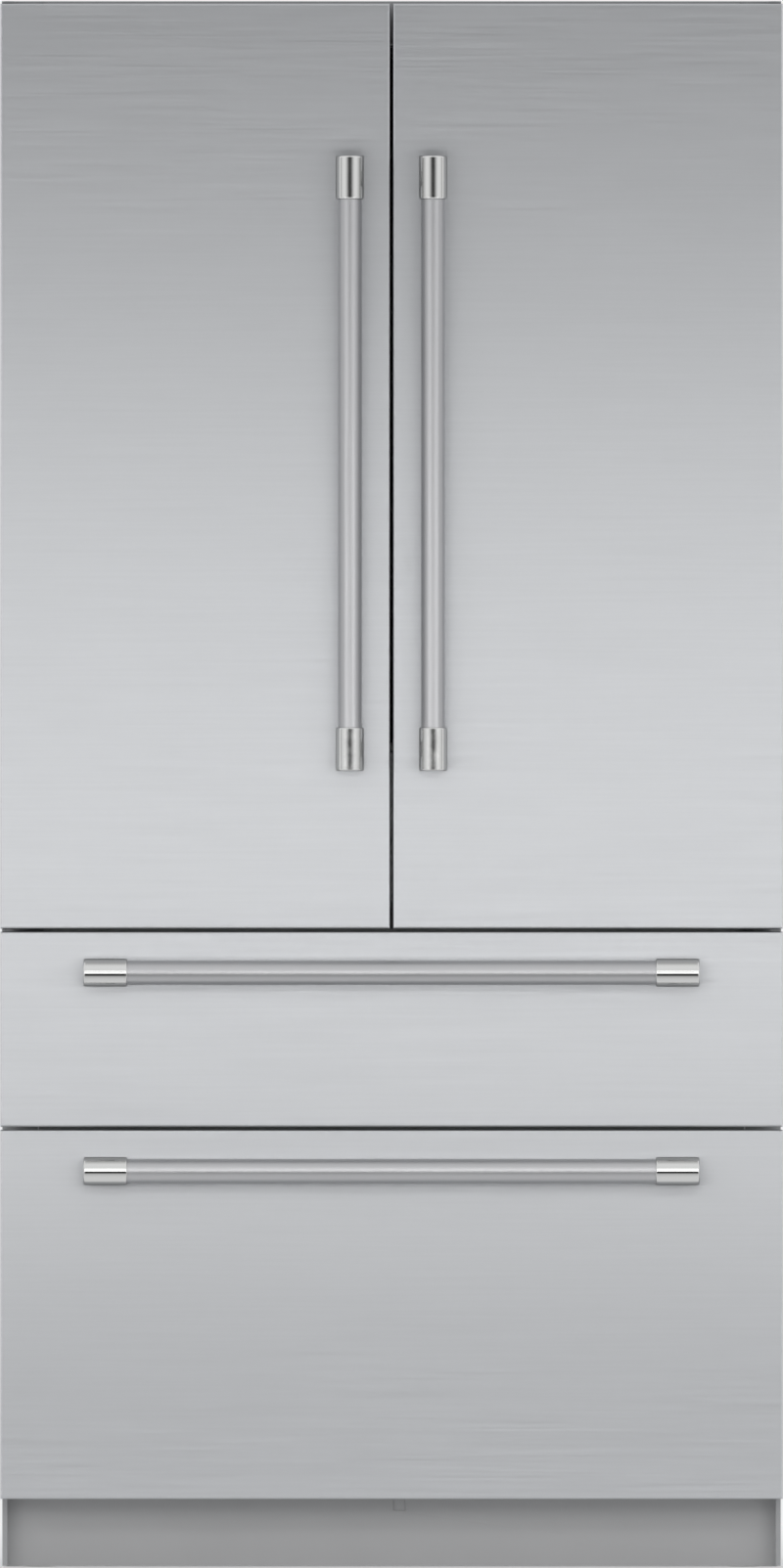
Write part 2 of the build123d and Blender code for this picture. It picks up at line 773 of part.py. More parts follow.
with BuildPart() as air_covers:
    block((-vent_panel_width / 2, vent_panel_width / 2), (vent_face, liner_back_in),
          (vent_bottom, vent_top))
    for _, side in SIDES:
        with BuildSketch(Plane.XZ.offset(-vent_face)):
            with Locations((side * vent_slot_x, (vent_bottom + vent_top) / 2)):
                with GridLocations(1.0, vent_pitch, 1, vent_rows):
                    SlotOverall(vent_slot, vent_slot_width)
        extrude(amount=-vent_slot_depth, mode=Mode.SUBTRACT)
    block((-half_inside, half_inside), (cover_face, cover_face + air_cover),
          (step_floor, freezer_ceiling))
    with BuildSketch(Plane.XZ.offset(-cover_face)):
        with Locations((0, fan_level)):
            with GridLocations(1.0, outlet_pitch, 1, outlet_rows):
                SlotOverall(vent_slot, outlet_slot_width)
        with Locations((0, step_floor + return_rise)):
            with GridLocations(return_pitch, 1.0, return_columns, 1):
                SlotOverall(return_slot, vent_slot_width)
    extrude(amount=-air_cover, mode=Mode.SUBTRACT)
    for dx in (-1, 1):
        for dz in (-1, 1):
            rod((dx * post_offset, cover_face + air_cover, fan_level + dz * post_offset),
                (0, 1, 0), fan_post_radius, fan_mount_y + fan_mount_sheet - cover_face - air_cover)
    reach = post_offset + fan_post_radius
    block((-reach, reach), (fan_mount_y, fan_mount_y + fan_mount_sheet),
          (fan_level - reach, fan_level + reach))
    rod((0, fan_mount_y, fan_level), (0, 1, 0), fan_hub_radius, liner_back_in - fan_mount_y)
    rod((0, fan_mount_y, fan_level), (0, 1, 0), shaft_radius + shaft_clearance, freezer_shaft,
        Mode.SUBTRACT)

air_covers.part.label = "air_covers"
export_step(air_covers.part, "parts/air_covers.step")

# Freezer fan, behind the evaporator cover
freezer_hub = 14.0
freezer_blades = 7
with BuildPart() as freezer_fan:
    fan_wheel(Plane(origin=(0, freezer_fan_y, fan_level), z_dir=(0, 1, 0)),
              freezer_fan_radius, freezer_hub, freezer_fan_depth, freezer_blades, freezer_shaft)

freezer_fan.part.label = "freezer_fan"
export_step(freezer_fan.part, "parts/freezer_fan.step")

# Evaporator, against the freezer's back wall
evaporator_side = 158.0
evaporator_half = half_inside - evaporator_side
evaporator_gap = 6.0
evaporator_rise = 60.0
evaporator_fins = 33
evaporator_rows = 6
with BuildPart() as evaporator:
    finned_coil((-evaporator_half, evaporator_half),
                (cover_face + air_cover + evaporator_gap, liner_back_in),
                (step_floor + evaporator_rise, fan_level - post_offset - evaporator_rise / 2),
                evaporator_fins, True, evaporator_rows, 2)

evaporator.part.label = "evaporator"
export_step(evaporator.part, "parts/evaporator.step")

# Shelf supports: slotted tracks, cantilever brackets, shelf rims and the crisper divider
outer_track = half_inside - shelf_side_gap - bracket_inset - track_width / 2
inner_track = shelf_side_gap + bracket_inset + track_width / 2
track_bottom = lid_level + track_rise
track_length = fridge_ceiling - track_drop - track_bottom
track_slot_count = 1 + int((track_length - 2 * track_slot_end) / track_pitch + running_gap)
TRACKS = ((outer_track, liner_back_in), (inner_track, vent_face))
shelf_u = (shelf_side_gap, half_inside - shelf_side_gap)
SHELVES = [(-1, rise) for rise in left_shelf_rises] + [(1, rise) for rise in right_shelf_rises]


def shelf_rim_frame(x, level):
    """A rim with a pocket for the glass, its top face at the given level."""
    y = (shelf_front, shelf_back)
    low, high = min(x), max(x)
    block((low, high), y, (level - shelf_rim_height, level))
    block((low + shelf_rim - shelf_ledge, high - shelf_rim + shelf_ledge),
          (y[0] + shelf_rim - shelf_ledge, y[1] - shelf_rim + shelf_ledge),
          (level - glass, level), Mode.SUBTRACT)
    block((low + shelf_rim, high - shelf_rim), (y[0] + shelf_rim, y[1] - shelf_rim),
          (level - shelf_rim_height, level), Mode.SUBTRACT)


support_solids = loose_blocks([
    ((-crisper_divider / 2, crisper_divider / 2), (shelf_front, shelf_back),
     (fridge_floor, lid_level - shelf_rim_height)),
])
RIMS = [((side * shelf_u[0], side * shelf_u[1]), fridge_floor + rise) for side, rise in SHELVES]
RIMS.append(((-shelf_u[1], shelf_u[1]), lid_level))
for x, level in RIMS:
    with BuildPart() as rim:
        shelf_rim_frame(x, level)
    support_solids += rim.part.solids()
for _, side in SIDES:
    for track, track_back in TRACKS:
        with BuildPart() as shelf_track:
            block((side * (track - track_width / 2), side * (track + track_width / 2)),
                  (track_back - track_thickness, track_back),
                  (track_bottom, track_bottom + track_length))
            with BuildSketch(Plane.XZ.offset(-track_back)):
                with Locations((side * track, track_bottom + track_length / 2)):
                    with GridLocations(1.0, track_pitch, 1, track_slot_count):
                        Rectangle(track_slot_width, track_slot)
            extrude(amount=track_thickness, mode=Mode.SUBTRACT)
        support_solids += shelf_track.part.solids()
for side, rise in SHELVES:
    bottom = fridge_floor + rise - shelf_rim_height
    for track, track_back in TRACKS:
        hook = track_back - track_thickness
        with BuildPart() as bracket:
            with BuildSketch(Plane.YZ.offset(side * track - bracket_sheet / 2)):
                with BuildLine():
                    Polyline(
                        (shelf_front + bracket_setback, bottom),
                        (hook, bottom),
                        (hook, bottom - bracket_height),
                        (shelf_front + bracket_setback, bottom - bracket_nose),
                        close=True,
                    )
                make_face()
            extrude(amount=bracket_sheet)
        support_solids += bracket.part.solids()
shelf_supports = Compound(children=support_solids)
shelf_supports.label = "shelf_supports"
export_step(shelf_supports, "parts/shelf_supports.step")

# Glass of the shelves and of the crisper lid, lying in the rims
with BuildPart() as shelf_glass:
    glass_inset = shelf_rim - shelf_ledge
    glass_y = (shelf_front + glass_inset, shelf_back - glass_inset)
    for side, rise in SHELVES:
        level = fridge_floor + rise
        block((side * (shelf_u[0] + glass_inset), side * (shelf_u[1] - glass_inset)),
              glass_y, (level - glass, level))
    block((-shelf_u[1] + glass_inset, shelf_u[1] - glass_inset), glass_y,
          (lid_level - glass, lid_level))

shelf_glass.part.label = "shelf_glass"
export_step(shelf_glass.part, "parts/shelf_glass.step")

# Crisper drawers, on the fridge floor
crisper_back = shelf_back - crisper_back_gap
with BuildPart() as crisper_drawers:
    for _, side in SIDES:
        u = (crisper_centre_gap, half_inside - ledge_width - running_gap)
        z = (fridge_floor, fridge_floor + crisper_height)
        block((side * u[0], side * u[1]), (shelf_front, crisper_back), z)
        block((side * (u[0] + crisper_wall), side * (u[1] - crisper_wall)),
              (shelf_front + crisper_wall, crisper_back - crisper_wall),
              (z[0] + crisper_wall, z[1]), Mode.SUBTRACT)
        block((side * (u[0] + crisper_grip_inset), side * (u[1] - crisper_grip_inset)),
              (shelf_front - crisper_grip, shelf_front), (z[1] - crisper_grip_height, z[1]))

crisper_drawers.part.label = "crisper_drawers"
export_step(crisper_drawers.part, "parts/crisper_drawers.step")

# Control and light console on the fridge ceiling
with BuildPart() as control_console:
    block((-console_width / 2, console_width / 2),
          (face + console_setback, face + console_setback + console_depth),
          (fridge_ceiling - console_height, fridge_ceiling))
    chamfer(control_console.edges().group_by(Axis.Z)[0], console_chamfer)

control_console.part.label = "control_console"
export_step(control_console.part, "parts/control_console.step")

# Runners: three C-section members side by side. The fixed ones are on the freezer walls.
runner_front = frame + runner_setback
runner_back = cover_face - runner_back_gap
upper_runner_bottom = rail_top + upper_runner_rise
lower_runner_bottom = step_floor + lower_runner_rise
DRAWERS = (
    ("upper", upper_bottom, upper_top, upper_runner_bottom),
    ("lower", lower_bottom, lower_top, lower_runner_bottom),
)
SEATS = {"upper": divider_bottom - upper_seat_drop, "lower": rail_bottom - lower_seat_drop}
BIN_FLOORS = {"upper": rail_top + upper_bin_gap, "lower": freezer_floor + lower_bin_gap}


def runner(side, member, bottom):
    """One C-section member. Member 0 lies on the wall, 1 and 2 further in."""
    outer = half_inside - member * (runner_member + running_gap)
    inner = outer - runner_member
    block((side * outer, side * inner), (runner_front, runner_back),
          (bottom, bottom + runner_height))
    block((side * (outer - runner_sheet), side * inner), (runner_front, runner_back),
          (bottom + runner_sheet, bottom + runner_height - runner_sheet), Mode.SUBTRACT)


with BuildPart() as runner_rails:
    for _, side in SIDES:
        for _, _, _, bottom in DRAWERS:
            runner(side, 0, bottom)

runner_rails.part.label = "runner_rails"
export_step(runner_rails.part, "parts/runner_rails.step")

frame_outer = half_inside - 2 * (runner_member + running_gap) - runner_member
frame_inner = frame_outer - frame_sheet
bin_half = frame_inner - bin_side_gap
bin_front = slab_back + inner_panel
bin_back = runner_back - bin_end_gap

for name, bottom, top, runner_bottom in DRAWERS:
    seat = SEATS[name]

    with BuildPart() as middles:
        for _, side in SIDES:
            runner(side, 1, runner_bottom)

    middles.part.label = f"{name}_runner_middles"
    export_step(middles.part, f"parts/{name}_runner_middles.step")

    # Side frames with the inner runner members, their feet and the tie at the back
    frame_blocks = [
        ((-frame_inner, frame_inner), (runner_back - tie_depth, runner_back),
         (runner_bottom, runner_bottom + tie_height)),
    ]
    frame_solids = []
    for _, side in SIDES:
        frame_blocks.append(
            ((side * (frame_inner - frame_foot), side * frame_inner),
             (slab_back, slab_back + frame_sheet), (runner_bottom, seat)))
        with BuildPart() as side_frame:
            runner(side, 2, runner_bottom)
            block((side * frame_inner, side * frame_outer), (slab_back, runner_back),
                  (runner_bottom, seat))
        frame_solids += side_frame.part.solids()
    drawer_frame = Compound(children=loose_blocks(frame_blocks) + frame_solids)
    drawer_frame.label = f"{name}_drawer_frame"
    export_step(drawer_frame, f"parts/{name}_drawer_frame.step")

    # Bins that hang by their rims on the side frames: one above, and below a deep one with
    # a shallow one behind it, over the machine compartment
    with BuildPart() as drawer_bin:
        tub_front = bin_front + frame_sheet
        if name == "upper":
            tubs = [((tub_front, bin_back), BIN_FLOORS[name])]
        else:
            deep_back = step_face - liner - bin_step_clearance
            tubs = [((tub_front, deep_back), BIN_FLOORS[name]),
                    ((deep_back + bin_between, bin_back), step_floor + bin_step_clearance)]
        for y, low in tubs:
            block((-bin_half, bin_half), y, (low, seat + bin_rim))
            block((-frame_outer - bin_overhang, frame_outer + bin_overhang), y,
                  (seat, seat + bin_rim))
            block((-bin_half + bin_wall, bin_half - bin_wall),
                  (y[0] + bin_wall, y[1] - bin_wall), (low + bin_wall, seat + bin_rim),
                  Mode.SUBTRACT)

    drawer_bin.part.label = f"{name}_drawer_bin"
    export_step(drawer_bin.part, f"parts/{name}_drawer_bin.step")

    # Front: stainless skin with rounded edges
    with BuildPart() as drawer_skin:
        block((-half_front, half_front), (face, slab_back - liner), (bottom, top))
        fillet(drawer_skin.edges().group_by(Axis.Y)[0], front_edge_radius)
        block((-half_front + skin, half_front - skin), (face + skin, slab_back - liner),
              (bottom + skin, top - skin), Mode.SUBTRACT)

    drawer_skin.part.label = f"{name}_drawer_skin"
    export_step(drawer_skin.part, f"parts/{name}_drawer_skin.step")

    with BuildPart() as drawer_insulation:
        block((-half_front + skin, half_front - skin), (face + skin, slab_back - liner),
              (bottom + skin, top - skin))

    drawer_insulation.part.label = f"{name}_drawer_insulation"
    export_step(drawer_insulation.part, f"parts/{name}_drawer_insulation.step")

    with BuildPart() as drawer_liner:
        block((-half_front, half_front), (slab_back - liner, slab_back), (bottom, top))
        panel_half = frame_inner - frame_foot - inner_panel_inset
        panel_z = (bottom + seal_reach + inner_panel_inset, top - seal_reach - inner_panel_inset)
        block((-panel_half, panel_half), (slab_back, slab_back + inner_panel + frame_sheet),
              panel_z)
        fillet(drawer_liner.edges().filter_by(Axis.Y).group_by(Axis.Y)[-1], inner_panel_radius)

    drawer_liner.part.label = f"{name}_drawer_liner"
    export_step(drawer_liner.part, f"parts/{name}_drawer_liner.step")

    with BuildPart() as drawer_gasket:
        gasket_half = half_front - gasket_side_inset
        gasket_z = (bottom + gasket_inset, top - gasket_inset)
        ring((-gasket_half, gasket_half), gasket_z, (slab_back, seal_face), gasket_width)
        fillet(drawer_gasket.edges().group_by(Axis.Y)[-1], gasket_radius)

    drawer_gasket.part.label = f"{name}_drawer_gasket"
    export_step(drawer_gasket.part, f"parts/{name}_drawer_gasket.step")


def handle_bar(origin, along, name):
    """The tube between the two ends. Origin is the middle of the handle's axis."""
    length = handle_length - 2 * (handle_end_length - handle_socket)
    start = Vector(*origin) - Vector(*along) * (length / 2)
    with BuildPart() as bar:
        rod(start, along, handle_bar_radius, length)
        rod(start, along, handle_bar_radius - handle_bar_wall, length, Mode.SUBTRACT)
    bar.part.label = name
    export_step(bar.part, f"parts/{name}.step")


def handle_ends(origin, along, name):
    """Two socketed ends, each with the post and foot that stand on the front."""
    with BuildPart() as ends:
        for way in (-1, 1):
            inward = Vector(*along) * way
            tip = Vector(*origin) - inward * (handle_length / 2)
            socket = tip + inward * (handle_end_length - handle_socket)
            post = tip + inward * (handle_end_length / 2)
            post_length = handle_standoff
            rod(tip, inward, handle_end_radius, handle_end_length)
            rod(post, (0, 1, 0), handle_post_radius, post_length)
            foot = post + Vector(0, handle_standoff - handle_foot_thickness, 0)
            rod(foot, (0, 1, 0), handle_foot_radius, handle_foot_thickness)
            rod(socket, inward, handle_bar_radius + handle_fit, handle_socket, Mode.SUBTRACT)
        rims = ends.edges().filter_by(GeomType.CIRCLE).filter_by(
            lambda edge: abs(edge.radius - handle_end_radius) < handle_fit)
        fillet(rims, handle_end_edge)
    ends.part.label = name
    export_step(ends.part, f"parts/{name}.step")


for name, bottom, top, _ in DRAWERS:
    middle = (0, handle_axis, top - handle_drop)
    handle_bar(middle, (1, 0, 0), f"{name}_handle_bar")
    handle_ends(middle, (1, 0, 0), f"{name}_handle_ends")

# Doors. Distances called u run from the middle of the appliance out to the side.
dike_u = (dike_centre_offset, half_inside - dike_clearance)
dike_z = (fridge_floor + dike_floor_clearance, fridge_ceiling - dike_floor_clearance)
dike_back = slab_back + dike_depth
plate_z = (dike_z[0] + mullion_plate_inset, dike_z[1] - mullion_plate_inset - mullion_plate)
mullion_z = (plate_z[0] + mullion_plate + running_gap, plate_z[1] - running_gap)
mullion_front = frame + sheet
pivot_x = mullion_reach - mullion_width + mullion_pivot_inset
pivot_y = mullion_front + mullion_pivot_depth
block_height = pin_length + hinge_block_end

for name, side in SIDES:
    slab_x = (side * half_gap, side * half_front)
    slab_in = (side * (half_gap + skin), side * (half_front - skin))
    block_u = half_front - skin - hinge_block

    # Stainless skin, with a drilled block for each hinge pin
    with BuildPart() as door_skin:
        block(slab_x, (face, slab_back - liner), (door_bottom, door_top))
        fillet(door_skin.edges().group_by(Axis.Y)[0], front_edge_radius)
        block(slab_in, (face + skin, slab_back - liner),
              (door_bottom + skin, door_top - skin), Mode.SUBTRACT)
        for low in (door_bottom + skin, door_top - skin - block_height):
            block((side * block_u, side * (half_front - skin)),
                  (face + skin, slab_back - liner), (low, low + block_height))
        hole = pin_radius + pin_clearance
        hole_depth = pin_length + plate_clearance
        rod((side * hinge_u, hinge_y, door_bottom), (0, 0, 1), hole, hole_depth, Mode.SUBTRACT)
        rod((side * hinge_u, hinge_y, door_top), (0, 0, -1), hole, hole_depth, Mode.SUBTRACT)

    door_skin.part.label = f"{name}_door_skin"
    export_step(door_skin.part, f"parts/{name}_door_skin.step")

    # Foam of the slab, and of the raised frame on its inner face
    foam_y = (face + skin, slab_back - liner)
    low = door_bottom + skin
    high = door_top - skin
    core = dike_width - 2 * liner
    core_u = (dike_u[0] + liner, dike_u[1] - liner)
    core_z = (dike_z[0] + liner, dike_z[1] - liner)
    core_y = (slab_back - liner, dike_back - liner)
    door_foam = [(slab_in, foam_y, (low + block_height, high - block_height))]
    for strip in ((low, low + block_height), (high - block_height, high)):
        door_foam.append(((side * (half_gap + skin), side * block_u), foam_y, strip))
    for u in (core_u[0], core_u[1] - core):
        door_foam.append(((side * u, side * (u + core)), core_y, core_z))
    for z in (core_z[0], core_z[1] - core):
        door_foam.append(
            ((side * (core_u[0] + core), side * (core_u[1] - core)), core_y, (z, z + core)))
    door_insulation = Compound(children=loose_blocks(door_foam))
    door_insulation.label = f"{name}_door_insulation"
    export_step(door_insulation, f"parts/{name}_door_insulation.step")

    # Inner liner with its raised frame, and on the left door the mullion's two pivots
    with BuildPart() as door_liner:
        block(slab_x, (slab_back - liner, slab_back), (door_bottom, door_top))
        ring((side * dike_u[0], side * dike_u[1]), dike_z, (slab_back, dike_back), dike_width)
        ring((side * core_u[0], side * core_u[1]), core_z, core_y, core, Mode.SUBTRACT)
        if name == "left":
            for level, up in ((plate_z[0], 1), (plate_z[1], -1)):
                block((-dike_u[0], pivot_x + mullion_pivot_inset),
                      (pivot_y - mullion_plate_width / 2, pivot_y + mullion_plate_width / 2),
                      (level, level + mullion_plate))
                start = level + mullion_plate if up > 0 else level
                rod((pivot_x, pivot_y, start), (0, 0, up), mullion_pin_radius,
                    mullion_pin_length)

    door_liner.part.label = f"{name}_door_liner"
    export_step(door_liner.part, f"parts/{name}_door_liner.step")

    # Magnetic gasket
    with BuildPart() as door_gasket:
        gasket_u = (half_gap + gasket_inset, half_front - gasket_side_inset)
        ring((side * gasket_u[0], side * gasket_u[1]),
             (door_bottom + gasket_inset, door_top - gasket_inset),
             (slab_back, seal_face), gasket_width)
        fillet(door_gasket.edges().group_by(Axis.Y)[-1], gasket_radius)

    door_gasket.part.label = f"{name}_door_gasket"
    export_step(door_gasket.part, f"parts/{name}_door_gasket.step")

    # Bins between the sides of the raised frame
    with BuildPart() as door_bins:
        bin_u = (dike_u[0] + dike_width, dike_u[1] - dike_width)
        for rise in door_bin_rises:
            low = dike_z[0] + dike_width + rise
            block((side * bin_u[0], side * bin_u[1]),
                  (slab_back, slab_back + door_bin_depth), (low, low + door_bin_height))
            block((side * (bin_u[0] + door_bin_wall), side * (bin_u[1] - door_bin_wall)),
                  (slab_back + door_bin_wall, slab_back + door_bin_depth - door_bin_wall),
                  (low + door_bin_wall, low + door_bin_height), Mode.SUBTRACT)

    door_bins.part.label = f"{name}_door_bins"
    export_step(door_bins.part, f"parts/{name}_door_bins.step")

    middle = (side * handle_from_centre, handle_axis, door_bottom + handle_rise)
    handle_bar(middle, (0, 0, 1), f"{name}_handle_bar")
    handle_ends(middle, (0, 0, 1), f"{name}_handle_ends")

    # Levelling foot: pad and threaded stud in the base frame's bracket
    with BuildPart() as foot_part:
        rod((side * foot_x, foot_y, 0), (0, 0, 1), foot_pad_radius, foot_pad_height)
        rod((side * foot_x, foot_y, foot_pad_height), (0, 0, 1), foot_stud_radius,
            foot_stud_length)

    foot_part.part.label = f"{name}_foot"
    export_step(foot_part.part, f"parts/{name}_foot.step")

# Flipping mullion, modelled folded back along the left door's inner edge
with BuildPart() as flip_mullion:
    folded_x = (pivot_x - (mullion_thickness - mullion_pivot_depth),
                pivot_x + mullion_pivot_depth)
    folded_y = (pivot_y - mullion_pivot_inset, pivot_y + mullion_width - mullion_pivot_inset)
    block(folded_x, folded_y, mullion_z)
    chamfer(flip_mullion.edges().filter_by(Axis.Z), mullion_chamfer)
    for level, up in ((mullion_z[0], 1), (mullion_z[1], -1)):
        rod((pivot_x, pivot_y, level), (0, 0, up), mullion_pin_radius + shaft_clearance,
            mullion_pin_length, Mode.SUBTRACT)

flip_mullion.part.label = "flip_mullion"
export_step(flip_mullion.part, "parts/flip_mullion.step")

# Rear rollers, each with its own axle in the base frame's forks
with BuildPart() as rear_rollers:
    axle_half = roller_width / 2 + roller_fork_gap + roller_fork + axle_end
    for _, side in SIDES:
        rod((side * roller_x - roller_width / 2, roller_y, roller_radius), (1, 0, 0),
            roller_radius, roller_width)
        rod((side * roller_x - axle_half, roller_y, roller_radius), (1, 0, 0),
            axle_radius, 2 * axle_half)

rear_rollers.part.label = "rear_rollers"
export_step(rear_rollers.part, "parts/rear_rollers.step")

# How far the widest point of the left door's inner edge swings past the middle
swing = hypot(hinge_u + folded_x[1], folded_y[1] - hinge_y) - hinge_u
print(f"mullion passes the middle by {swing:.2f} of {half_gap:.2f} mm as the door swings")
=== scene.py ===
# %% [markdown]
# A built-in fridge freezer: two steel doors over two steel drawers. The CAD model gives every
# sheet, tube and bin its true place. This script gives them their finish, and swaps the plain
# inner pieces for moulded ones. Everything is in metres, +X to the right, -Y out of the doors.

# %% Load the CAD model into an empty scene
from math import cos, pi, radians, sin

import bpy
from mathutils import Matrix, Vector
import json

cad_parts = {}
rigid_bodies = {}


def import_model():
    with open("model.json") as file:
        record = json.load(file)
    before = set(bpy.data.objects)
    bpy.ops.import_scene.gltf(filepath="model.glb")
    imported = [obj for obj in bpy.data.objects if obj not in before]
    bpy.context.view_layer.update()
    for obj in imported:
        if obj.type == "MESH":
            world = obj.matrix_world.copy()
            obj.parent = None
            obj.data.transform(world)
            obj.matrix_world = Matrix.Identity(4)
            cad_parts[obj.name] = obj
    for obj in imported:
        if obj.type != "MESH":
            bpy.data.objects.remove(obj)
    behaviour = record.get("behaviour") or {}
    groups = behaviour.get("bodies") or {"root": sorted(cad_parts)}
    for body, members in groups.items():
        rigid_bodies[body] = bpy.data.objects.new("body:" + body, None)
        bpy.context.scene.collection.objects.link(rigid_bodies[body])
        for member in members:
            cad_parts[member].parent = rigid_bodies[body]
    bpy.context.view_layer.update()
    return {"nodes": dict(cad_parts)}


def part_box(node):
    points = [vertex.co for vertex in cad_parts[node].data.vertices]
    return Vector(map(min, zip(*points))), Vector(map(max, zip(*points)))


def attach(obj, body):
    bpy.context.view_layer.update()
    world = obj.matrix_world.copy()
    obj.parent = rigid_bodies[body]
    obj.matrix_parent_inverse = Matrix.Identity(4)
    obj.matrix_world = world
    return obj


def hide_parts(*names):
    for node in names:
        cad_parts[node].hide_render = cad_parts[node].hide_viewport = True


bpy.ops.object.select_all(action="SELECT")
bpy.ops.object.delete()
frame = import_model()
nodes = frame["nodes"]

# %% [markdown]
# The photograph is taken straight from the front and from far away, so both doors look flat
# and square. A very long lens from far off gives that view. The camera stands level, and its
# picture is as high as the appliance looks from there.

# %% The camera
door_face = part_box("left_door_skin")[0].y
view_height, eye_height = 2.125, 1.0634
camera_distance, sight_range = 48.0, 1000.0
bpy.ops.object.camera_add(
    location=(0, door_face - camera_distance, eye_height), rotation=(radians(90), 0, 0))
camera = bpy.context.object
camera.data.sensor_width = 36.0
camera.data.lens = camera.data.sensor_width * camera_distance / view_height
camera.data.clip_end = sight_range
bpy.context.scene.camera = camera
print("lens:", round(camera.data.lens, 1), "mm")

# %% [markdown]
# Brushed steel shows what stands in front of it, blurred. In the photograph the fronts are
# brightest near the foot of the doors and fall off to both ends, so two wide, low soft boxes
# stand in front at that height. The slot between them is level with the lower handle ends and
# keeps these dark in the middle. Weaker boxes light the sides and the back.

# %% Lamps
def soft_box(name, place, target, width, height, radiance):
    """A rectangular lamp of one brightness all over, turned to its target."""
    bpy.ops.object.light_add(type="AREA", location=place)
    lamp = bpy.context.object
    lamp.name = name
    lamp.data.shape = "RECTANGLE"
    lamp.data.size = width
    lamp.data.size_y = height
    lamp.data.energy = radiance * pi * width * height
    lamp.rotation_euler = (Vector(target) - Vector(place)).to_track_quat("-Z", "Y").to_euler()
    return lamp


band_low, band_high = 0.42, 1.60        # heights of the two long boxes in front
slot_low, slot_high = 1.02, 1.20        # the slot, level with the lower handle ends
band_width, band_front, band_radiance = 7.0, -3.4, 1.75
for name, low, high in (("foot_box", band_low, slot_low), ("waist_box", slot_high, band_high)):
    middle = (low + high) / 2
    soft_box(name, (0, band_front, middle), (0, 0, middle), width=band_width,
             height=high - low, radiance=band_radiance)
waist = (0, 0, 1.1)                     # what the other boxes point at
for side, name in ((-1, "left"), (1, "right")):
    soft_box(f"{name}_side_box", (side * 4.5, 0.9, 1.5), waist, width=3.0, height=2.6,
             radiance=0.45)
soft_box("back_box", (0, 4.5, 1.8), waist, width=4.0, height=2.6, radiance=0.8)

# %% [markdown]
# The room and the floor are wired from a few kinds of node: a ramp, arithmetic, and a blend of
# two colours or two shaders. A small function for each keeps the wiring readable. Light Path
# tells what sort of ray asks, so that a surface can answer the camera and a mirror differently.

# %% Helpers for nodes
def link_ramp(tree, value, start, end, low, high):
    """A number that eases from low to high while the value goes from start to end."""
    ramp = tree.nodes.new("ShaderNodeMapRange")
    ramp.interpolation_type = "SMOOTHSTEP"
    ramp.inputs["From Min"].default_value = start
    ramp.inputs["From Max"].default_value = end
    ramp.inputs["To Min"].default_value = low
    ramp.inputs["To Max"].default_value = high
    tree.links.new(value, ramp.inputs["Value"])
    return ramp.outputs["Result"]


def link_math(tree, operation, *values):
    """One step of arithmetic on numbers and sockets."""
    step = tree.nodes.new("ShaderNodeMath")
    step.operation = operation
    for socket, value in zip(step.inputs, values):
        if isinstance(value, (int, float)):
            socket.default_value = value
        else:
            tree.links.new(value, socket)
    return step.outputs["Value"]


def link_product(tree, first, *others):
    """Two or more factors multiplied."""
    for other in others:
        first = link_math(tree, "MULTIPLY", first, other)
    return first


def link_colours(tree, share, first, second):
    """A colour that goes from the first to the second with the share."""
    blend = tree.nodes.new("ShaderNodeMix")
    blend.data_type = "RGBA"
    blend.inputs["A"].default_value = first
    blend.inputs["B"].default_value = second
    tree.links.new(share, blend.inputs["Factor"])
    return blend.outputs["Result"]


def link_shaders(tree, share, first, second, output):
    """Blends two shaders by the share, into the surface of the output node."""
    blend = tree.nodes.new("ShaderNodeMixShader")
    tree.links.new(share, blend.inputs["Fac"])
    tree.links.new(first, blend.inputs[1])
    tree.links.new(second, blend.inputs[2])
    tree.links.new(blend.outputs["Shader"], tree.nodes[output].inputs["Surface"])


def split_vector(tree, vector):
    """The sockets X, Y and Z of a vector."""
    parts = tree.nodes.new("ShaderNodeSeparateXYZ")
    tree.links.new(vector, parts.inputs["Vector"])
    return parts.outputs


def ray_kinds(tree):
    """Two sockets: one for the rays of the camera, one for those of a mirror or of glass."""
    rays = tree.nodes.new("ShaderNodeLightPath").outputs
    return (rays["Is Camera Ray"],
            link_math(tree, "MAXIMUM", rays["Is Glossy Ray"], rays["Is Transmission Ray"]))


# %% [markdown]
# The room is an even grey light, and its walls look pale, both directly and mirrored in steel
# and glass. Only the corner in front, where the photographer stands, is dark at eye level. The
# polished handle ends show it as the dark line that tells bright metal from white paint. Two
# narrow dark lines, square to the view, let the same ends darken towards their edges.

# %% World
room_colour = (0.72, 0.725, 0.74, 1)
backdrop_colour = (0.86, 0.865, 0.87, 1)
dark_colour = (0.05, 0.05, 0.05, 1)
dark_half_width, dark_fade = radians(3), radians(45)    # to each side of the camera
dark_top, dark_top_fade = radians(8), radians(20)
line_starts, line_share = radians(53), 0.5      # away from the camera, darkest square to it
line_half_width, line_fade = radians(3), radians(10)
world = bpy.data.worlds.new("studio")
bpy.context.scene.world = world
world.use_nodes = True
tree = world.node_tree
seen, mirrored = ray_kinds(tree)
direction = split_vector(tree, tree.nodes.new("ShaderNodeTexCoord").outputs["Generated"])
beside, ahead, above = [link_math(tree, "ABSOLUTE", direction[axis]) for axis in "XYZ"]
corner = link_product(
    tree, link_ramp(tree, beside, sin(dark_half_width), sin(dark_fade), 1.0, 0.0),
    link_ramp(tree, direction["Z"], sin(dark_top), sin(dark_top_fade), 1.0, 0.0),
    link_math(tree, "LESS_THAN", direction["Y"], 0.0))
level, upright = [link_ramp(tree, away, sin(line_half_width), sin(line_fade), line_share, 0.0)
                  for away in (above, beside)]
lines = link_product(tree, link_math(tree, "MAXIMUM", level, upright),
                     link_ramp(tree, ahead, cos(line_starts), 0.0, 0.0, 1.0))
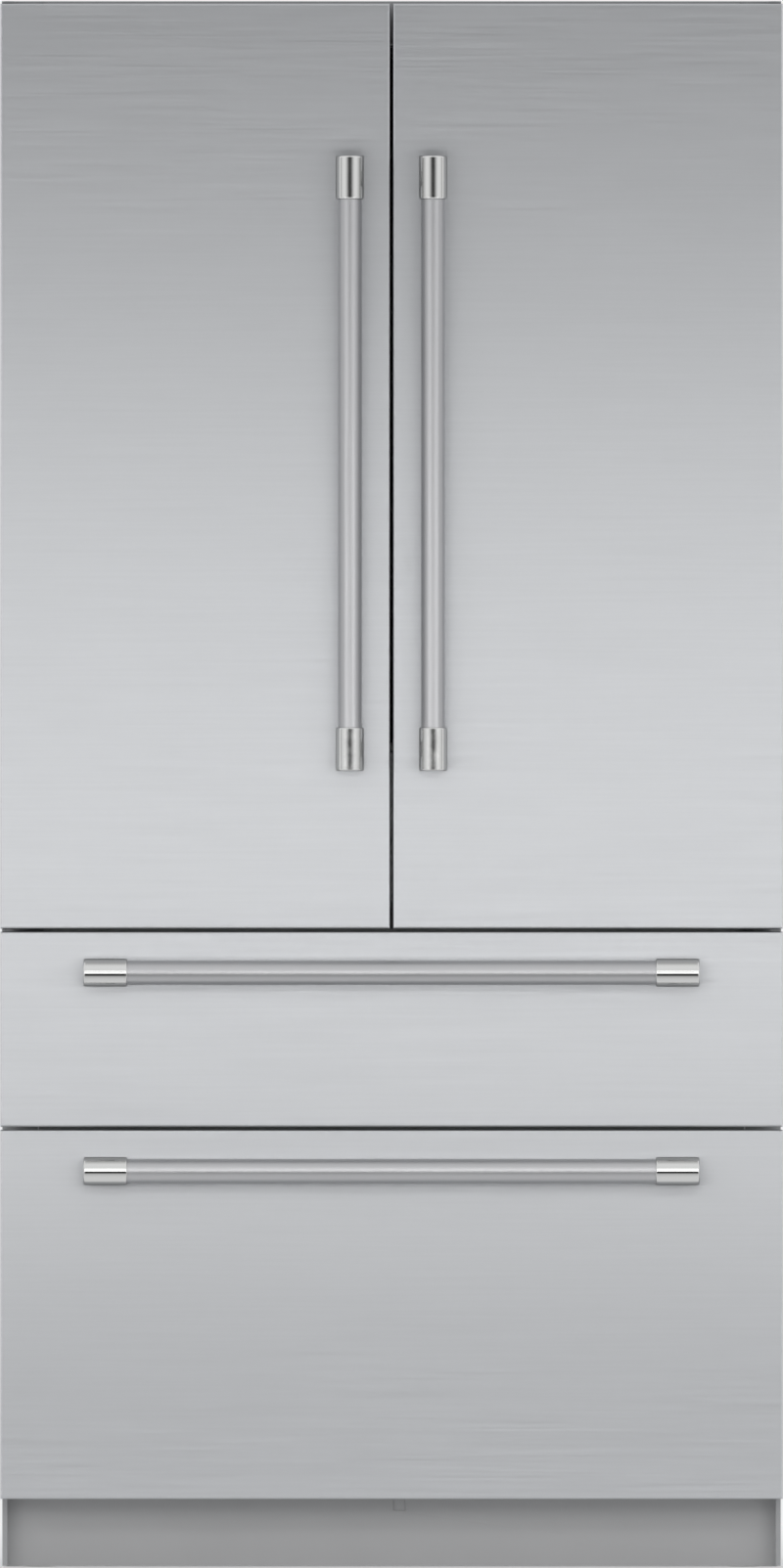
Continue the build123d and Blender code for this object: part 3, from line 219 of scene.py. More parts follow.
dark = link_product(tree, link_math(tree, "MAXIMUM", corner, lines),
                    link_math(tree, "SUBTRACT", 1.0, seen))
backdrop = tree.nodes.new("ShaderNodeBackground")
tree.links.new(link_colours(tree, dark, backdrop_colour, dark_colour), backdrop.inputs["Color"])
room = tree.nodes["Background"]
room.inputs["Color"].default_value = room_colour
link_shaders(tree, link_math(tree, "MAXIMUM", seen, mirrored), room.outputs["Background"],
             backdrop.outputs["Background"], "World Output")
bpy.context.scene.view_settings.view_transform = "Standard"
print("world nodes:", len(tree.nodes))

# %% [markdown]
# Every finish starts from the same two nodes: the shader, and the place on the object. Real
# surfaces are never even, so each finish breaks up its colour or gloss with noise of a real
# size. Stretching that noise along one axis turns it into brushing.

# %% Helpers for finishes
noise_low, noise_high = 0.3, 0.7        # nearly all of the noise lies between these
shade_low, shade_high = 0.35, 0.65      # a little less, for colours with clearer patches


def new_finish(name, colour, metallic, roughness):
    """A material with its shader set, and the point on the object in metres."""
    material = bpy.data.materials.new(name)
    material.use_nodes = True
    material.diffuse_color = (*colour, 1)
    tree = material.node_tree
    shader = tree.nodes["Principled BSDF"]
    shader.inputs["Base Color"].default_value = (*colour, 1)
    shader.inputs["Metallic"].default_value = metallic
    shader.inputs["Roughness"].default_value = roughness
    place = tree.nodes.new("ShaderNodeTexCoord").outputs["Object"]
    return material, tree, shader, place


def noise(tree, place, scale, detail=2.0, stretch=(1, 1, 1)):
    """Noise with so many cells to the metre, longer where stretch is under one."""
    mapping = tree.nodes.new("ShaderNodeMapping")
    mapping.inputs["Scale"].default_value = stretch
    texture = tree.nodes.new("ShaderNodeTexNoise")
    texture.inputs["Scale"].default_value = scale
    texture.inputs["Detail"].default_value = detail
    tree.links.new(place, mapping.inputs["Vector"])
    tree.links.new(mapping.outputs["Vector"], texture.inputs["Vector"])
    return texture.outputs["Fac"]


def gloss_of(tree, shader, factor, low, high):
    """Roughness that moves from low to high with the noise."""
    spread = tree.nodes.new("ShaderNodeMapRange")
    spread.inputs["From Min"].default_value = noise_low
    spread.inputs["From Max"].default_value = noise_high
    spread.inputs["To Min"].default_value = low
    spread.inputs["To Max"].default_value = high
    tree.links.new(factor, spread.inputs["Value"])
    tree.links.new(spread.outputs["Result"], shader.inputs["Roughness"])


def shade_of(tree, shader, factor, colour, dark, light):
    """Colour that moves between a darker and a lighter tint with the noise."""
    ramp = tree.nodes.new("ShaderNodeValToRGB")
    stops = ramp.color_ramp.elements
    for stop, position, share in zip(stops, (shade_low, shade_high), (dark, light)):
        stop.position = position
        stop.color = (*[min(1.0, part * share) for part in colour], 1)
    tree.links.new(factor, ramp.inputs["Fac"])
    tree.links.new(ramp.outputs["Color"], shader.inputs["Base Color"])


def relief(tree, shader, height, strength, depth):
    """Bump, with its depth in metres."""
    bump = tree.nodes.new("ShaderNodeBump")
    bump.inputs["Strength"].default_value = strength
    bump.inputs["Distance"].default_value = depth
    tree.links.new(height, bump.inputs["Height"])
    tree.links.new(bump.outputs["Normal"], shader.inputs["Normal"])


# %% [markdown]
# Brushing leaves scratches about a tenth of a millimetre apart and several centimetres long.
# Two sizes of stretched noise do this: fine ones roughen the surface, and wider, fainter bands
# vary the shade a little. The fronts are brushed from side to side, the tubes along their length.

# %% Brushed and polished steel
def stretch_along(axis, share):
    """Scales for noise that is longer along one axis and unchanged along the others."""
    return tuple(share if each == axis else 1 for each in "xyz")


def brushed_steel(name, colour, roughness, grain):
    """Steel brushed along the x or the z axis."""
    material, tree, shader, place = new_finish(name, colour, 1.0, roughness)
    scratches = noise(tree, place, scale=1600.0, detail=3.0, stretch=stretch_along(grain, 0.004))
    bands = noise(tree, place, scale=220.0, detail=3.0, stretch=stretch_along(grain, 0.02))
    gloss_of(tree, shader, scratches, low=roughness - 0.05, high=roughness + 0.05)
    shade_of(tree, shader, bands, colour, dark=0.988, light=1.012)
    relief(tree, shader, scratches, strength=0.2, depth=0.00004)
    return material


def polished_steel(name, colour):
    """Mirror-bright steel with a trace of polishing marks, darker at grazing angles."""
    material, tree, shader, place = new_finish(name, colour, 1.0, 0.05)
    shader.inputs["Specular Tint"].default_value = (0.15, 0.15, 0.15, 1)
    gloss_of(tree, shader, noise(tree, place, scale=60.0, detail=4.0), low=0.04, high=0.08)
    relief(tree, shader, noise(tree, place, scale=900.0), strength=0.01, depth=0.00002)
    return material


# %% [markdown]
# Paint and zinc have small patterns of their own. Sprayed paint dries with a slight orange peel,
# which a little relief gives. Molten zinc sets in crystals, so each cell of a cell texture gets
# its own shade and gloss. All the metal finishes then go into one list, by the name of their use.

# %% Paint, zinc and the list of metals
def painted_sheet(name, colour, roughness, peel=0.12):
    """Sprayed paint: a slight orange peel over nearly even colour."""
    material, tree, shader, place = new_finish(name, colour, 0.0, roughness)
    shade_of(tree, shader, noise(tree, place, scale=6.0, detail=3.0), colour, dark=0.985,
             light=1.015)
    gloss_of(tree, shader, noise(tree, place, scale=25.0), low=roughness - 0.02,
             high=roughness + 0.02)
    relief(tree, shader, noise(tree, place, scale=420.0, detail=1.0), strength=peel, depth=0.0003)
    return material


def zinc_coated(name, colour, roughness=0.38):
    """Zinc-coated sheet, whose crystals each take the light their own way."""
    material, tree, shader, place = new_finish(name, colour, 0.9, roughness)
    crystals = tree.nodes.new("ShaderNodeTexVoronoi")
    crystals.inputs["Scale"].default_value = 160.0
    tree.links.new(place, crystals.inputs["Vector"])
    split = tree.nodes.new("ShaderNodeSeparateColor")
    tree.links.new(crystals.outputs["Color"], split.inputs["Color"])
    shade_of(tree, shader, split.outputs["Red"], colour, dark=0.98, light=1.02)
    gloss_of(tree, shader, split.outputs["Green"], low=roughness - 0.02, high=roughness + 0.02)
    return material


front_colour = (0.545, 0.555, 0.57)
tube_colour = (0.545, 0.545, 0.555)
# The upright tubes are the same steel as the level ones; their darker colour is painted shade.
upright_painted_shade_colour = (0.475, 0.475, 0.485)
steel = {
    "front": brushed_steel("steel_front_brushed_across", front_colour, 0.36, "x"),
    "tube_x": brushed_steel("steel_tube_brushed_across", tube_colour, 0.38, "x"),
    "tube_z_painted_shade": brushed_steel("steel_tube_brushed_upright_painted_shade", upright_painted_shade_colour, 0.38, "z"),
    "polished": polished_steel("steel_polished", (0.74, 0.74, 0.73)),
    "zinc": zinc_coated("zinc_sheet", (0.55, 0.56, 0.57)),
    "runner": zinc_coated("zinc_runner", (0.66, 0.67, 0.68), 0.34),
    "shelf": brushed_steel("aluminium_satin", (0.68, 0.69, 0.70), 0.34, "x"),
    "coil": brushed_steel("aluminium_bare", (0.74, 0.75, 0.76), 0.36, "z"),
    "cabinet": painted_sheet("paint_cabinet_grey", (0.36, 0.365, 0.37), 0.42),
    "plinth": painted_sheet("paint_plinth_grey", (0.47, 0.47, 0.47), 0.5),
    "hinge": painted_sheet("paint_hinge_grey", (0.22, 0.225, 0.23), 0.4),
    "black": painted_sheet("paint_gloss_black", (0.015, 0.015, 0.016), 0.22, peel=0.2),
    "enamel": painted_sheet("paint_black_enamel", (0.03, 0.03, 0.032), 0.35),
    "plated": zinc_coated("zinc_plated", (0.58, 0.57, 0.54), 0.34),
}
print("metal finishes:", len(steel))

# %% [markdown]
# The inside is plastic. Moulded liners have a soft gloss and a barely visible grain. Bins and
# crispers are clear: light mostly passes straight through, more so face on than at the edges,
# which Layer Weight gives from the angle of the surface. Glass is the same with a green tint,
# strongest at its edges.

# %% Plastics, rubber, glass and foam
def moulded(name, colour, roughness, grain_scale=60.0, grain=0.02):
    """Opaque plastic, faintly uneven as it cooled on its mould."""
    material, tree, shader, place = new_finish(name, colour, 0.0, roughness)
    shade_of(tree, shader, noise(tree, place, scale=4.0), colour, dark=0.98, light=1.02)
    gloss_of(tree, shader, noise(tree, place, scale=30.0), low=roughness - 0.04,
             high=roughness + 0.05)
    relief(tree, shader, noise(tree, place, grain_scale, detail=1.0), grain, depth=0.0002)
    return material


def see_through(name, colour, roughness, face_on, edge_on):
    """Clear sheet that covers what is behind it more when seen edge on."""
    material, tree, shader, place = new_finish(name, colour, 0.0, roughness)
    angle = tree.nodes.new("ShaderNodeLayerWeight")
    angle.inputs["Blend"].default_value = 0.35
    cover = tree.nodes.new("ShaderNodeMapRange")
    cover.inputs["To Min"].default_value = face_on
    cover.inputs["To Max"].default_value = edge_on
    tree.links.new(angle.outputs["Facing"], cover.inputs["Value"])
    tree.links.new(cover.outputs["Result"], shader.inputs["Alpha"])
    gloss_of(tree, shader, noise(tree, place, scale=40.0), low=roughness, high=roughness + 0.05)
    return material


def soft_rubber(name, colour):
    """Seal rubber: dull, with a powdery mottle."""
    material, tree, shader, place = new_finish(name, colour, 0.0, 0.62)
    shade_of(tree, shader, noise(tree, place, scale=90.0, detail=4.0), colour, dark=0.93,
             light=1.05)
    relief(tree, shader, noise(tree, place, scale=1500.0, detail=1.0), strength=0.1, depth=0.0001)
    return material


def rigid_foam(name, colour):
    """Cut foam, with its cells."""
    material, tree, shader, place = new_finish(name, colour, 0.0, 0.85)
    shade_of(tree, shader, noise(tree, place, scale=35.0, detail=5.0), colour, dark=0.88,
             light=1.06)
    relief(tree, shader, noise(tree, place, scale=1100.0, detail=3.0), strength=0.5, depth=0.0006)
    return material


plastic = {
    "liner": moulded("plastic_liner_white", (0.86, 0.87, 0.88), 0.36),
    "mullion": moulded("plastic_mullion_grey", (0.62, 0.63, 0.64), 0.42),
    "console": moulded("plastic_console_grey", (0.66, 0.67, 0.69), 0.36),
    "lens": moulded("plastic_lens_frosted", (0.90, 0.90, 0.88), 0.5, grain_scale=500.0, grain=0.15),
    "machine": moulded("plastic_machine_black", (0.045, 0.045, 0.048), 0.5, grain_scale=500.0,
                       grain=0.3),
    "wheel": moulded("plastic_wheel_nylon", (0.10, 0.10, 0.105), 0.45),
    "clear": see_through("plastic_clear", (0.86, 0.90, 0.93), 0.07, face_on=0.20, edge_on=0.75),
    "frosted": see_through("plastic_frosted", (0.84, 0.87, 0.90), 0.22, face_on=0.62,
                           edge_on=0.92),
    "glass": see_through("glass_tempered", (0.72, 0.84, 0.80), 0.03, face_on=0.16, edge_on=0.85),
    "gasket": soft_rubber("rubber_gasket_grey", (0.40, 0.41, 0.43)),
    "foam": rigid_foam("foam_insulation", (0.80, 0.70, 0.46)),
}
print("plastic finishes:", len(plastic))

# %% [markdown]
# The floor is a large pale sheet. Near the appliance it partly keeps its own colour, and with it
# the soft shadow. Further out it has exactly the backdrop's tone, so that neither a lamp nor the
# horizon shows on it. Steel mirrors less of that tone, which leaves the undersides of the tubes
# darker. The photographer's dark corner goes on over the mirrored floor in front.

# %% Floor
floor_size, floor_colour = 400.0, (0.82, 0.82, 0.82)
near_share, mirrored_share = 0.45, 0.6  # of the backdrop's tone, seen near by and mirrored
near_radius, far_radius = 1.0, 2.6      # beyond, no lamp shows on the floor
corner_starts, corner_full = 0.5, 2.4   # metres in front of the appliance
corner_half_width, corner_fade = 1.5, 4.0
bpy.ops.mesh.primitive_plane_add(size=floor_size)
floor = bpy.context.object
floor.name = "studio_floor"
floor_paint, tree, shader, place = new_finish("studio_floor_paint", floor_colour, 0.0, 0.85)
shader.inputs["Specular IOR Level"].default_value = 0.1
seen, mirrored = ray_kinds(tree)
spot = split_vector(tree, place)
corner = link_product(
    tree, mirrored, link_ramp(tree, spot["Y"], -corner_starts, -corner_full, 0.0, 1.0),
    link_ramp(tree, link_math(tree, "ABSOLUTE", spot["X"]), corner_half_width, corner_fade,
              1.0, 0.0))
plain = tree.nodes.new("ShaderNodeEmission")
tree.links.new(link_colours(tree, corner, backdrop_colour, dark_colour), plain.inputs["Color"])
distance = tree.nodes.new("ShaderNodeVectorMath")
distance.operation = "LENGTH"
tree.links.new(place, distance.inputs[0])
seen_share = link_ramp(tree, distance.outputs["Value"], near_radius, far_radius, near_share, 1.0)
share = link_math(
    tree, "ADD", link_product(tree, seen, seen_share),
    link_math(tree, "MAXIMUM", corner, link_product(tree, mirrored, mirrored_share)))
link_shaders(tree, share, shader.outputs["BSDF"], plain.outputs["Emission"], "Material Output")
floor.data.materials.append(floor_paint)
print("floor:", floor_size, "m across")

# %% [markdown]
# Each CAD node keeps its exact shape and only takes a finish. The handles need two: the grain
# of a tube runs along it, so upright and level tubes can't share one material. The upright tubes
# are the same steel as the level ones, but their colour is darker, as painted shade.

# %% Give the CAD nodes their finishes
def dress(names, material):
    """Gives these CAD nodes one material."""
    for name in names:
        nodes[name].data.materials.clear()
        nodes[name].data.materials.append(material)


fronts = ["left_door", "right_door", "upper_drawer", "lower_drawer"]
dress([f"{front}_skin" for front in fronts], steel["front"])
dress([f"{front}_insulation" for front in fronts] + ["cabinet_insulation"], plastic["foam"])
dress([f"{front}_liner" for front in fronts] + ["fridge_liner", "freezer_liner", "air_covers"],
      plastic["liner"])
dress([f"{front}_gasket" for front in fronts], plastic["gasket"])
# The upright tubes' material is darker than the level tubes' as painted shade.
dress(["left_handle_bar", "right_handle_bar"], steel["tube_z_painted_shade"])
dress(["upper_handle_bar", "lower_handle_bar"], steel["tube_x"])
dress([f"{side}_handle_ends" for side in ("left", "right", "upper", "lower")],
      steel["polished"])
dress(["outer_wrapper", "cross_rails"], steel["cabinet"])
dress(["toe_kick"], steel["plinth"])
dress(["door_hinges"], steel["hinge"])
dress(["back_panel", "machine_cover", "base_frame", "anti_tip_plates"], steel["zinc"])
dress(["runner_rails", "upper_runner_middles", "lower_runner_middles",
       "upper_drawer_frame", "lower_drawer_frame"], steel["runner"])
dress(["shelf_supports"], steel["shelf"])
dress(["shelf_glass"], plastic["glass"])
dress(["evaporator"], steel["coil"])
dress(["condenser"], steel["enamel"])
dress(["compressor"], steel["black"])
dress(["condenser_fan_shroud", "condenser_fan", "freezer_fan", "control_box"],
      plastic["machine"])
dress(["left_foot", "right_foot"], steel["plated"])
dress(["rear_rollers"], plastic["wheel"])
dress(["left_door_bins", "right_door_bins", "crisper_drawers"], plastic["clear"])
dress(["upper_drawer_bin", "lower_drawer_bin"], plastic["frosted"])
dress(["control_console"], plastic["console"])
dress(["flip_mullion"], plastic["mullion"])
print("dressed:", len(nodes))

# %% [markdown]
# New pieces are modelled as by hand. These helpers do the first steps: select only the piece
# that is meant, start from a block of the right size, and pick its faces or edges by their place
# or by the way they face, as there is no mouse to click them with.

# %% Helpers for modelling
facing = 0.9            # a normal with more than this along an axis points that way
same_place = 1e-4       # metres, between places that only rounding keeps apart


def only(piece):
    """Makes this object the one that is selected and active."""
    if bpy.context.object and bpy.context.object.mode != "OBJECT":
        bpy.ops.object.mode_set(mode="OBJECT")
    bpy.ops.object.select_all(action="DESELECT")
    piece.select_set(True)
    bpy.context.view_layer.objects.active = piece


def settle(piece):
    """Moves the object's place, turn and size into its mesh."""
    only(piece)
    bpy.ops.object.transform_apply(location=True, rotation=True, scale=True)


def start_block(name, low, high):
    """A block between two corners, with its place in its mesh."""
    low, high = Vector(low), Vector(high)
    bpy.ops.mesh.primitive_cube_add(size=1, location=(low + high) / 2)
    piece = bpy.context.object
    piece.name = name
    piece.scale = high - low
    settle(piece)
    return piece


def leave_edit():
    """Goes back to object mode."""
    bpy.ops.object.mode_set(mode="OBJECT")


def pick_nothing(piece, kind):
    """Deselects all of a piece, ready to pick its faces or edges."""
    only(piece)
    bpy.ops.object.mode_set(mode="EDIT")
    bpy.ops.mesh.select_mode(type=kind)
    bpy.ops.mesh.select_all(action="DESELECT")
    leave_edit()


def pick_faces(piece, wanted):
    """Selects the faces for which wanted(centre, normal) holds, and enters edit mode."""
    pick_nothing(piece, "FACE")
    for face in piece.data.polygons:
        face.select = bool(wanted(face.center, face.normal))
    bpy.ops.object.mode_set(mode="EDIT")


def pick_edges(piece, wanted):
    """Selects the edges for which wanted(one end, other end) holds, and enters edit mode."""
    pick_nothing(piece, "EDGE")
    spots = [vertex.co for vertex in piece.data.vertices]
    for edge in piece.data.edges:
        edge.select = bool(wanted(spots[edge.vertices[0]], spots[edge.vertices[1]]))
    bpy.ops.object.mode_set(mode="EDIT")


# %% [markdown]
# The last steps repeat too: round the edges, give the piece its finish, and say which body of
# the appliance it moves with. What occurs several times is modelled once, copied with a mesh of
# its own, and joined, so that a row of equal parts stays one piece.

# %% Helpers for finished pieces
def apply_modifier(piece, kind, **settings):
    """Adds one modifier, sets it and applies it."""
    only(piece)
    modifier = piece.modifiers.new(kind.title(), kind)
    for key, value in settings.items():
        setattr(modifier, key, value)
    bpy.ops.object.modifier_apply(modifier=modifier.name)


def smooth(piece):
    """Smooth shading, except across edges of more than 35 degrees."""
    only(piece)
    bpy.ops.object.shade_smooth_by_angle(angle=radians(35))


def round_edges(piece, radius, segments=3, angle=30):
    """Rounds every edge sharper than the angle, and smooths the shading across it."""
    apply_modifier(piece, "BEVEL", width=radius, segments=segments, limit_method="ANGLE",
                   angle_limit=radians(angle), harden_normals=False)
    smooth(piece)


def rail(name, low, high, radius, segments=4):
    """A bar with rounded edges."""
    piece = start_block(name, low, high)
    round_edges(piece, radius, segments)
    return piece


def finish_piece(piece, material, body, stands_for=()):
    """Gives a piece its finish, its body, and the CAD nodes it stands for."""
    piece.data.materials.clear()
    piece.data.materials.append(material)
    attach(piece, body)
    if stands_for:
        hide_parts(*stands_for)
    return piece


def copy_moved(piece, name, shift):
    """A copy with its own mesh, moved in its mesh."""
    twin = piece.copy()
    twin.data = piece.data.copy()
    twin.name = name
    bpy.context.scene.collection.objects.link(twin)
    twin.data.transform(Matrix.Translation(Vector(shift)))
    return twin


def join(pieces, name):
    """Joins pieces into the first of them."""
    only(pieces[0])
    for piece in pieces[1:]:
        piece.select_set(True)
    bpy.ops.object.join()
    pieces[0].name = name
    return pieces[0]


def repeat(first, shifts, name):
    """The first piece and its moved copies, joined."""
    return join([first] + [copy_moved(first, name, shift) for shift in shifts], name)


# %% [markdown]
# Many CAD solids have the right shape but knife-sharp edges, and nothing pressed or moulded is
# that sharp. A copy of such a node is merged into real faces and its edges are rounded a little,
# so that each catches a thin line of light.

# %% Round the edges of moulded and pressed pieces
merge_distance, flat_angle = 0.00002, radians(0.5)


def soften(node, name, body, material, radius, segments=3, wanted=None):
    """A copy of a CAD node with rounded edges, all or the wanted ones, standing for the node."""
    piece = nodes[node].copy()
    piece.data = nodes[node].data.copy()
    piece.name = name
    for key in list(piece.keys()):
        del piece[key]
    piece.parent = None
    bpy.context.scene.collection.objects.link(piece)
    only(piece)
    bpy.ops.mesh.customdata_custom_splitnormals_clear()
    bpy.ops.object.mode_set(mode="EDIT")
    bpy.ops.mesh.select_all(action="SELECT")
    bpy.ops.mesh.remove_doubles(threshold=merge_distance)
    bpy.ops.mesh.dissolve_limited(angle_limit=flat_angle)
    leave_edit()
    if wanted:
        pick_edges(piece, wanted)
        bpy.ops.mesh.bevel(offset=radius, offset_type="OFFSET", segments=segments, profile=0.5,
                           clamp_overlap=True)
        leave_edit()
        smooth(piece)
    else:
        round_edges(piece, radius, segments)
    return finish_piece(piece, material, body, (node,))


softened = [
    soften("cross_rails", "cross_rail_pressings", "cabinet", steel["cabinet"],
           radius=0.0008, segments=2),
    soften("toe_kick", "plinth_plate", "cabinet", steel["plinth"],
           radius=0.0006, segments=2),
    soften("door_hinges", "hinge_plates", "cabinet", steel["hinge"],
           radius=0.0006, segments=2),
    soften("anti_tip_plates", "fixing_plates", "cabinet", steel["zinc"],
           radius=0.0006, segments=2),
    soften("flip_mullion", "mullion_moulding", "flip_mullion",
           plastic["mullion"], radius=0.0012),
    soften("upper_drawer_bin", "upper_bin_moulding", "upper_drawer",
           plastic["frosted"], radius=0.0012),
    soften("lower_drawer_bin", "lower_bin_mouldings", "lower_drawer",
           plastic["frosted"], radius=0.0012),
]
print("softened:", {piece.name: len(piece.data.polygons) for piece in softened})

# %% [markdown]
# The plinth has a small finger notch at its top edge, near the middle. A tab of the base frame
# stands right behind it in the same paint, so the notch shows as a soft shadow, not as a hole.

# %% Tab behind the plinth notch
plinth_back, plinth_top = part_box("toe_kick")[1].yz
notch_middle, notch_width, notch_depth = 0.0106, 0.0165, 0.018
tab_lap, tab_sheet, tab_drop = 0.006, 0.0012, 0.0005
tab_half_width = notch_width / 2 + tab_lap
tab = start_block("plinth_tab",
                  (notch_middle - tab_half_width, plinth_back,
                   plinth_top - notch_depth - tab_lap),
                  (notch_middle + tab_half_width, plinth_back + tab_sheet,
                   plinth_top - tab_drop))
round_edges(tab, radius=0.0003, segments=2)
finish_piece(tab, steel["plinth"], "cabinet")
print("tab:", [round(side, 4) for side in tab.dimensions])

# %% [markdown]
# A door's inner liner is one vacuum-formed sheet. Its raised frame has wide, soft corners,
# because hot plastic stretches over the mould and can't follow a sharp edge. Only the edges of
# the raised frame are rounded here, and the thin flange round it stays flat.

# %% Door liners
flange_thickness, least_rise = 0.0021, 0.05     # the frame's top is higher than least_rise
for side in ("left", "right"):
    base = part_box(f"{side}_door_liner")[0].y + flange_thickness + least_rise

    def on_raised_frame(one, other, base=base):
        """True for edges high on the frame, and for those that rise to its top."""
        rises = abs(one.x - other.x) + abs(one.z - other.z) < same_place
        return min(one.y, other.y) > base or (rises and max(one.y, other.y) > base)

    soften(f"{side}_door_liner", f"{side}_liner_moulding", f"{side}_door",
           plastic["liner"], radius=0.007, segments=4, wanted=on_raised_frame)
for level in ("upper", "lower"):
    soften(f"{level}_drawer_liner", f"{level}_liner_moulding", f"{level}_drawer",
           plastic["liner"], radius=0.0008, segments=2)
print("liner mouldings done")

# %% [markdown]
# A magnetic gasket is a hollow rubber profile: a flat foot in the door, a thin bellows that lets
# it stretch, and a rounded tube with the magnet. Frames of different widths, one on the other,
# give that stepped profile all round the door.

# %% Gaskets
def frame_ring(name, x, z, y, width):
    """A rectangular ring: a plate, inset by the width, its middle removed, then extruded."""
    middle = ((x[0] + x[1]) / 2, y[0], (z[0] + z[1]) / 2)
    bpy.ops.mesh.primitive_plane_add(size=1, location=middle, rotation=(radians(-90), 0, 0))
    ring = bpy.context.object
    ring.name = name
    ring.scale = (x[1] - x[0], z[1] - z[0], 1)
    settle(ring)
    bpy.ops.object.mode_set(mode="EDIT")
    bpy.ops.mesh.select_mode(type="FACE")
    bpy.ops.mesh.select_all(action="SELECT")
    bpy.ops.mesh.inset(thickness=width)
    bpy.ops.mesh.delete(type="FACE")
    bpy.ops.mesh.select_all(action="SELECT")
    bpy.ops.mesh.extrude_region_move(TRANSFORM_OT_translate={"value": (0, y[1] - y[0], 0)})
    bpy.ops.mesh.select_all(action="SELECT")
    bpy.ops.mesh.normals_make_consistent(inside=False)
    leave_edit()
    return ring


seal_width = 0.014
seal_layers = (     # from and to, as shares of the depth, how far set in, and the edge's radius
    (0.0, 0.22, 0.0, 0.0004), (0.22, 0.36, 0.0035, 0.0004), (0.36, 0.48, 0.001, 0.0004),
    (0.48, 0.6, 0.0035, 0.0004), (0.6, 1.0, 0.0, 0.0016))
for front in fronts:
    low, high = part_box(f"{front}_gasket")
    depth = high.y - low.y
    rings = []
    for start, end, inset, radius in seal_layers:
        ring = frame_ring(f"{front}_seal_ring", (low.x + inset, high.x - inset),
                          (low.z + inset, high.z - inset),
                          (low.y + start * depth, low.y + end * depth), seal_width - 2 * inset)
        round_edges(ring, radius)
        rings.append(ring)
    seal = finish_piece(join(rings, f"{front}_seal"), plastic["gasket"], front,
                        (f"{front}_gasket",))
print("gaskets:", len(fronts), "last has", len(seal.data.polygons), "faces")

# %% [markdown]
# Bins and crispers are thin open tubs. A block loses its top face, its upright and lower edges
# are bevelled wide, and Solidify then gives every wall the same thickness, as in a moulding.
# Tapering the foot a little lets the real part leave its mould.

# %% Tubs
def tub(name, low, high, wall, corner, taper):
    """An open tub with rounded corners and an even wall, narrower at its foot."""
    low, high = Vector(low), Vector(high)
    piece = start_block(name, low, high)
    pick_faces(piece, lambda centre, normal: normal.z > facing)
    bpy.ops.mesh.delete(type="FACE")
    pick_faces(piece, lambda centre, normal: normal.z < -facing)
    size = high - low
    bpy.ops.transform.resize(value=(1 - 2 * taper / size.x, 1 - 2 * taper / size.y, 1),
                             center_override=(low + high) / 2)
    pick_edges(piece, lambda one, other: abs(one.z - other.z) > size.z / 2)
    bpy.ops.mesh.bevel(offset=corner, segments=5, profile=0.5)
    pick_edges(piece, lambda one, other: max(one.z, other.z) < low.z + same_place)
    bpy.ops.mesh.bevel(offset=corner / 2, segments=3, profile=0.5)
    leave_edit()
    apply_modifier(piece, "SOLIDIFY", thickness=wall, offset=-1.0, use_even_offset=True)
    round_edges(piece, wall * 0.3, segments=2, angle=50)
    return piece


# %% [markdown]
# Each door carries three bins, one above the other. A metal trim along a bin's front edge keeps
# it stiff and holds the bottles in. One bin and one trim are made, then copied to their levels.

# %% Door bins
bin_height, bin_shifts = 0.115, ((0, 0, 0.36), (0, 0, 0.72))
trim_inset, trim_height, trim_rise = 0.016, 0.022, 0.001
trim_lap, trim_proud = 0.0035, 0.0025
for side in ("left", "right"):
    low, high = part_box(f"{side}_door_bins")
    bin_top = low.z + bin_height
    first = tub(f"{side}_bin", low, (high.x, high.y, bin_top), wall=0.003, corner=0.018,
                taper=0.006)
    trim = rail(f"{side}_trim", (low.x + trim_inset, high.y - trim_lap, bin_top - trim_height),
                (high.x - trim_inset, high.y + trim_proud, bin_top + trim_rise), radius=0.0015)
    finish_piece(repeat(first, bin_shifts, f"{side}_bin_tubs"), plastic["clear"],
                 f"{side}_door", (f"{side}_door_bins",))
    finish_piece(repeat(trim, bin_shifts, f"{side}_bin_trims"), steel["shelf"], f"{side}_door")
print("door bins:", 2 * (1 + len(bin_shifts)))

# %% [markdown]
# The crispers are clear tubs with a frosted front. The front's face is inset and pushed back,
# which leaves a stiff border round a sunk field. The grip is a bar nearly as wide as the front
# that stands out by a centimetre, with room for the fingers under it.

# %% Crisper drawers
low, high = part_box("crisper_drawers")
middle_gap = 0.006                              # from the middle of the fridge to a crisper
front_face, front_back = low.y + 0.010, low.y + 0.017
tub_starts, tub_drop, front_rise = low.y + 0.016, 0.002, 0.004
field_inset, field_depth = 0.016, 0.0025        # the sunk field of a front
grip_back, grip_inset, grip_top, grip_bottom = low.y + 0.012, 0.06, 0.012, 0.026
crispers = []
fascias = []
for side in (-1, 1):
    left, right = sorted((side * middle_gap, side * high.x))
    crispers.append(tub("crisper", (left, tub_starts, low.z), (right, high.y, high.z - tub_drop),
                        wall=0.0025, corner=0.014, taper=0.004))
    fascia = start_block("fascia", (left, front_face, low.z + front_rise),
                         (right, front_back, high.z))
    pick_faces(fascia, lambda centre, normal: normal.y < -facing)
    bpy.ops.mesh.inset(thickness=field_inset)
    bpy.ops.transform.translate(value=(0, field_depth, 0))
    leave_edit()
    round_edges(fascia, radius=0.0012)
    fascias.append(fascia)
    fascias.append(rail("grip", (left + grip_inset, low.y, high.z - grip_bottom),
                        (right - grip_inset, grip_back, high.z - grip_top), radius=0.003))
finish_piece(join(crispers, "crisper_tubs"), plastic["clear"], "cabinet",
             ("crisper_drawers",))
finish_piece(join(fascias, "crisper_fronts"), plastic["frosted"], "cabinet")
print("crispers:", len(crispers))

# %% [markdown]
# The console under the fridge ceiling holds the lamp and the temperature keys. Its housing is a
# block whose lower edges are bevelled wide, as on a moulding. Its lens is a frosted strip, and
# the keys are low round buttons with no marking.

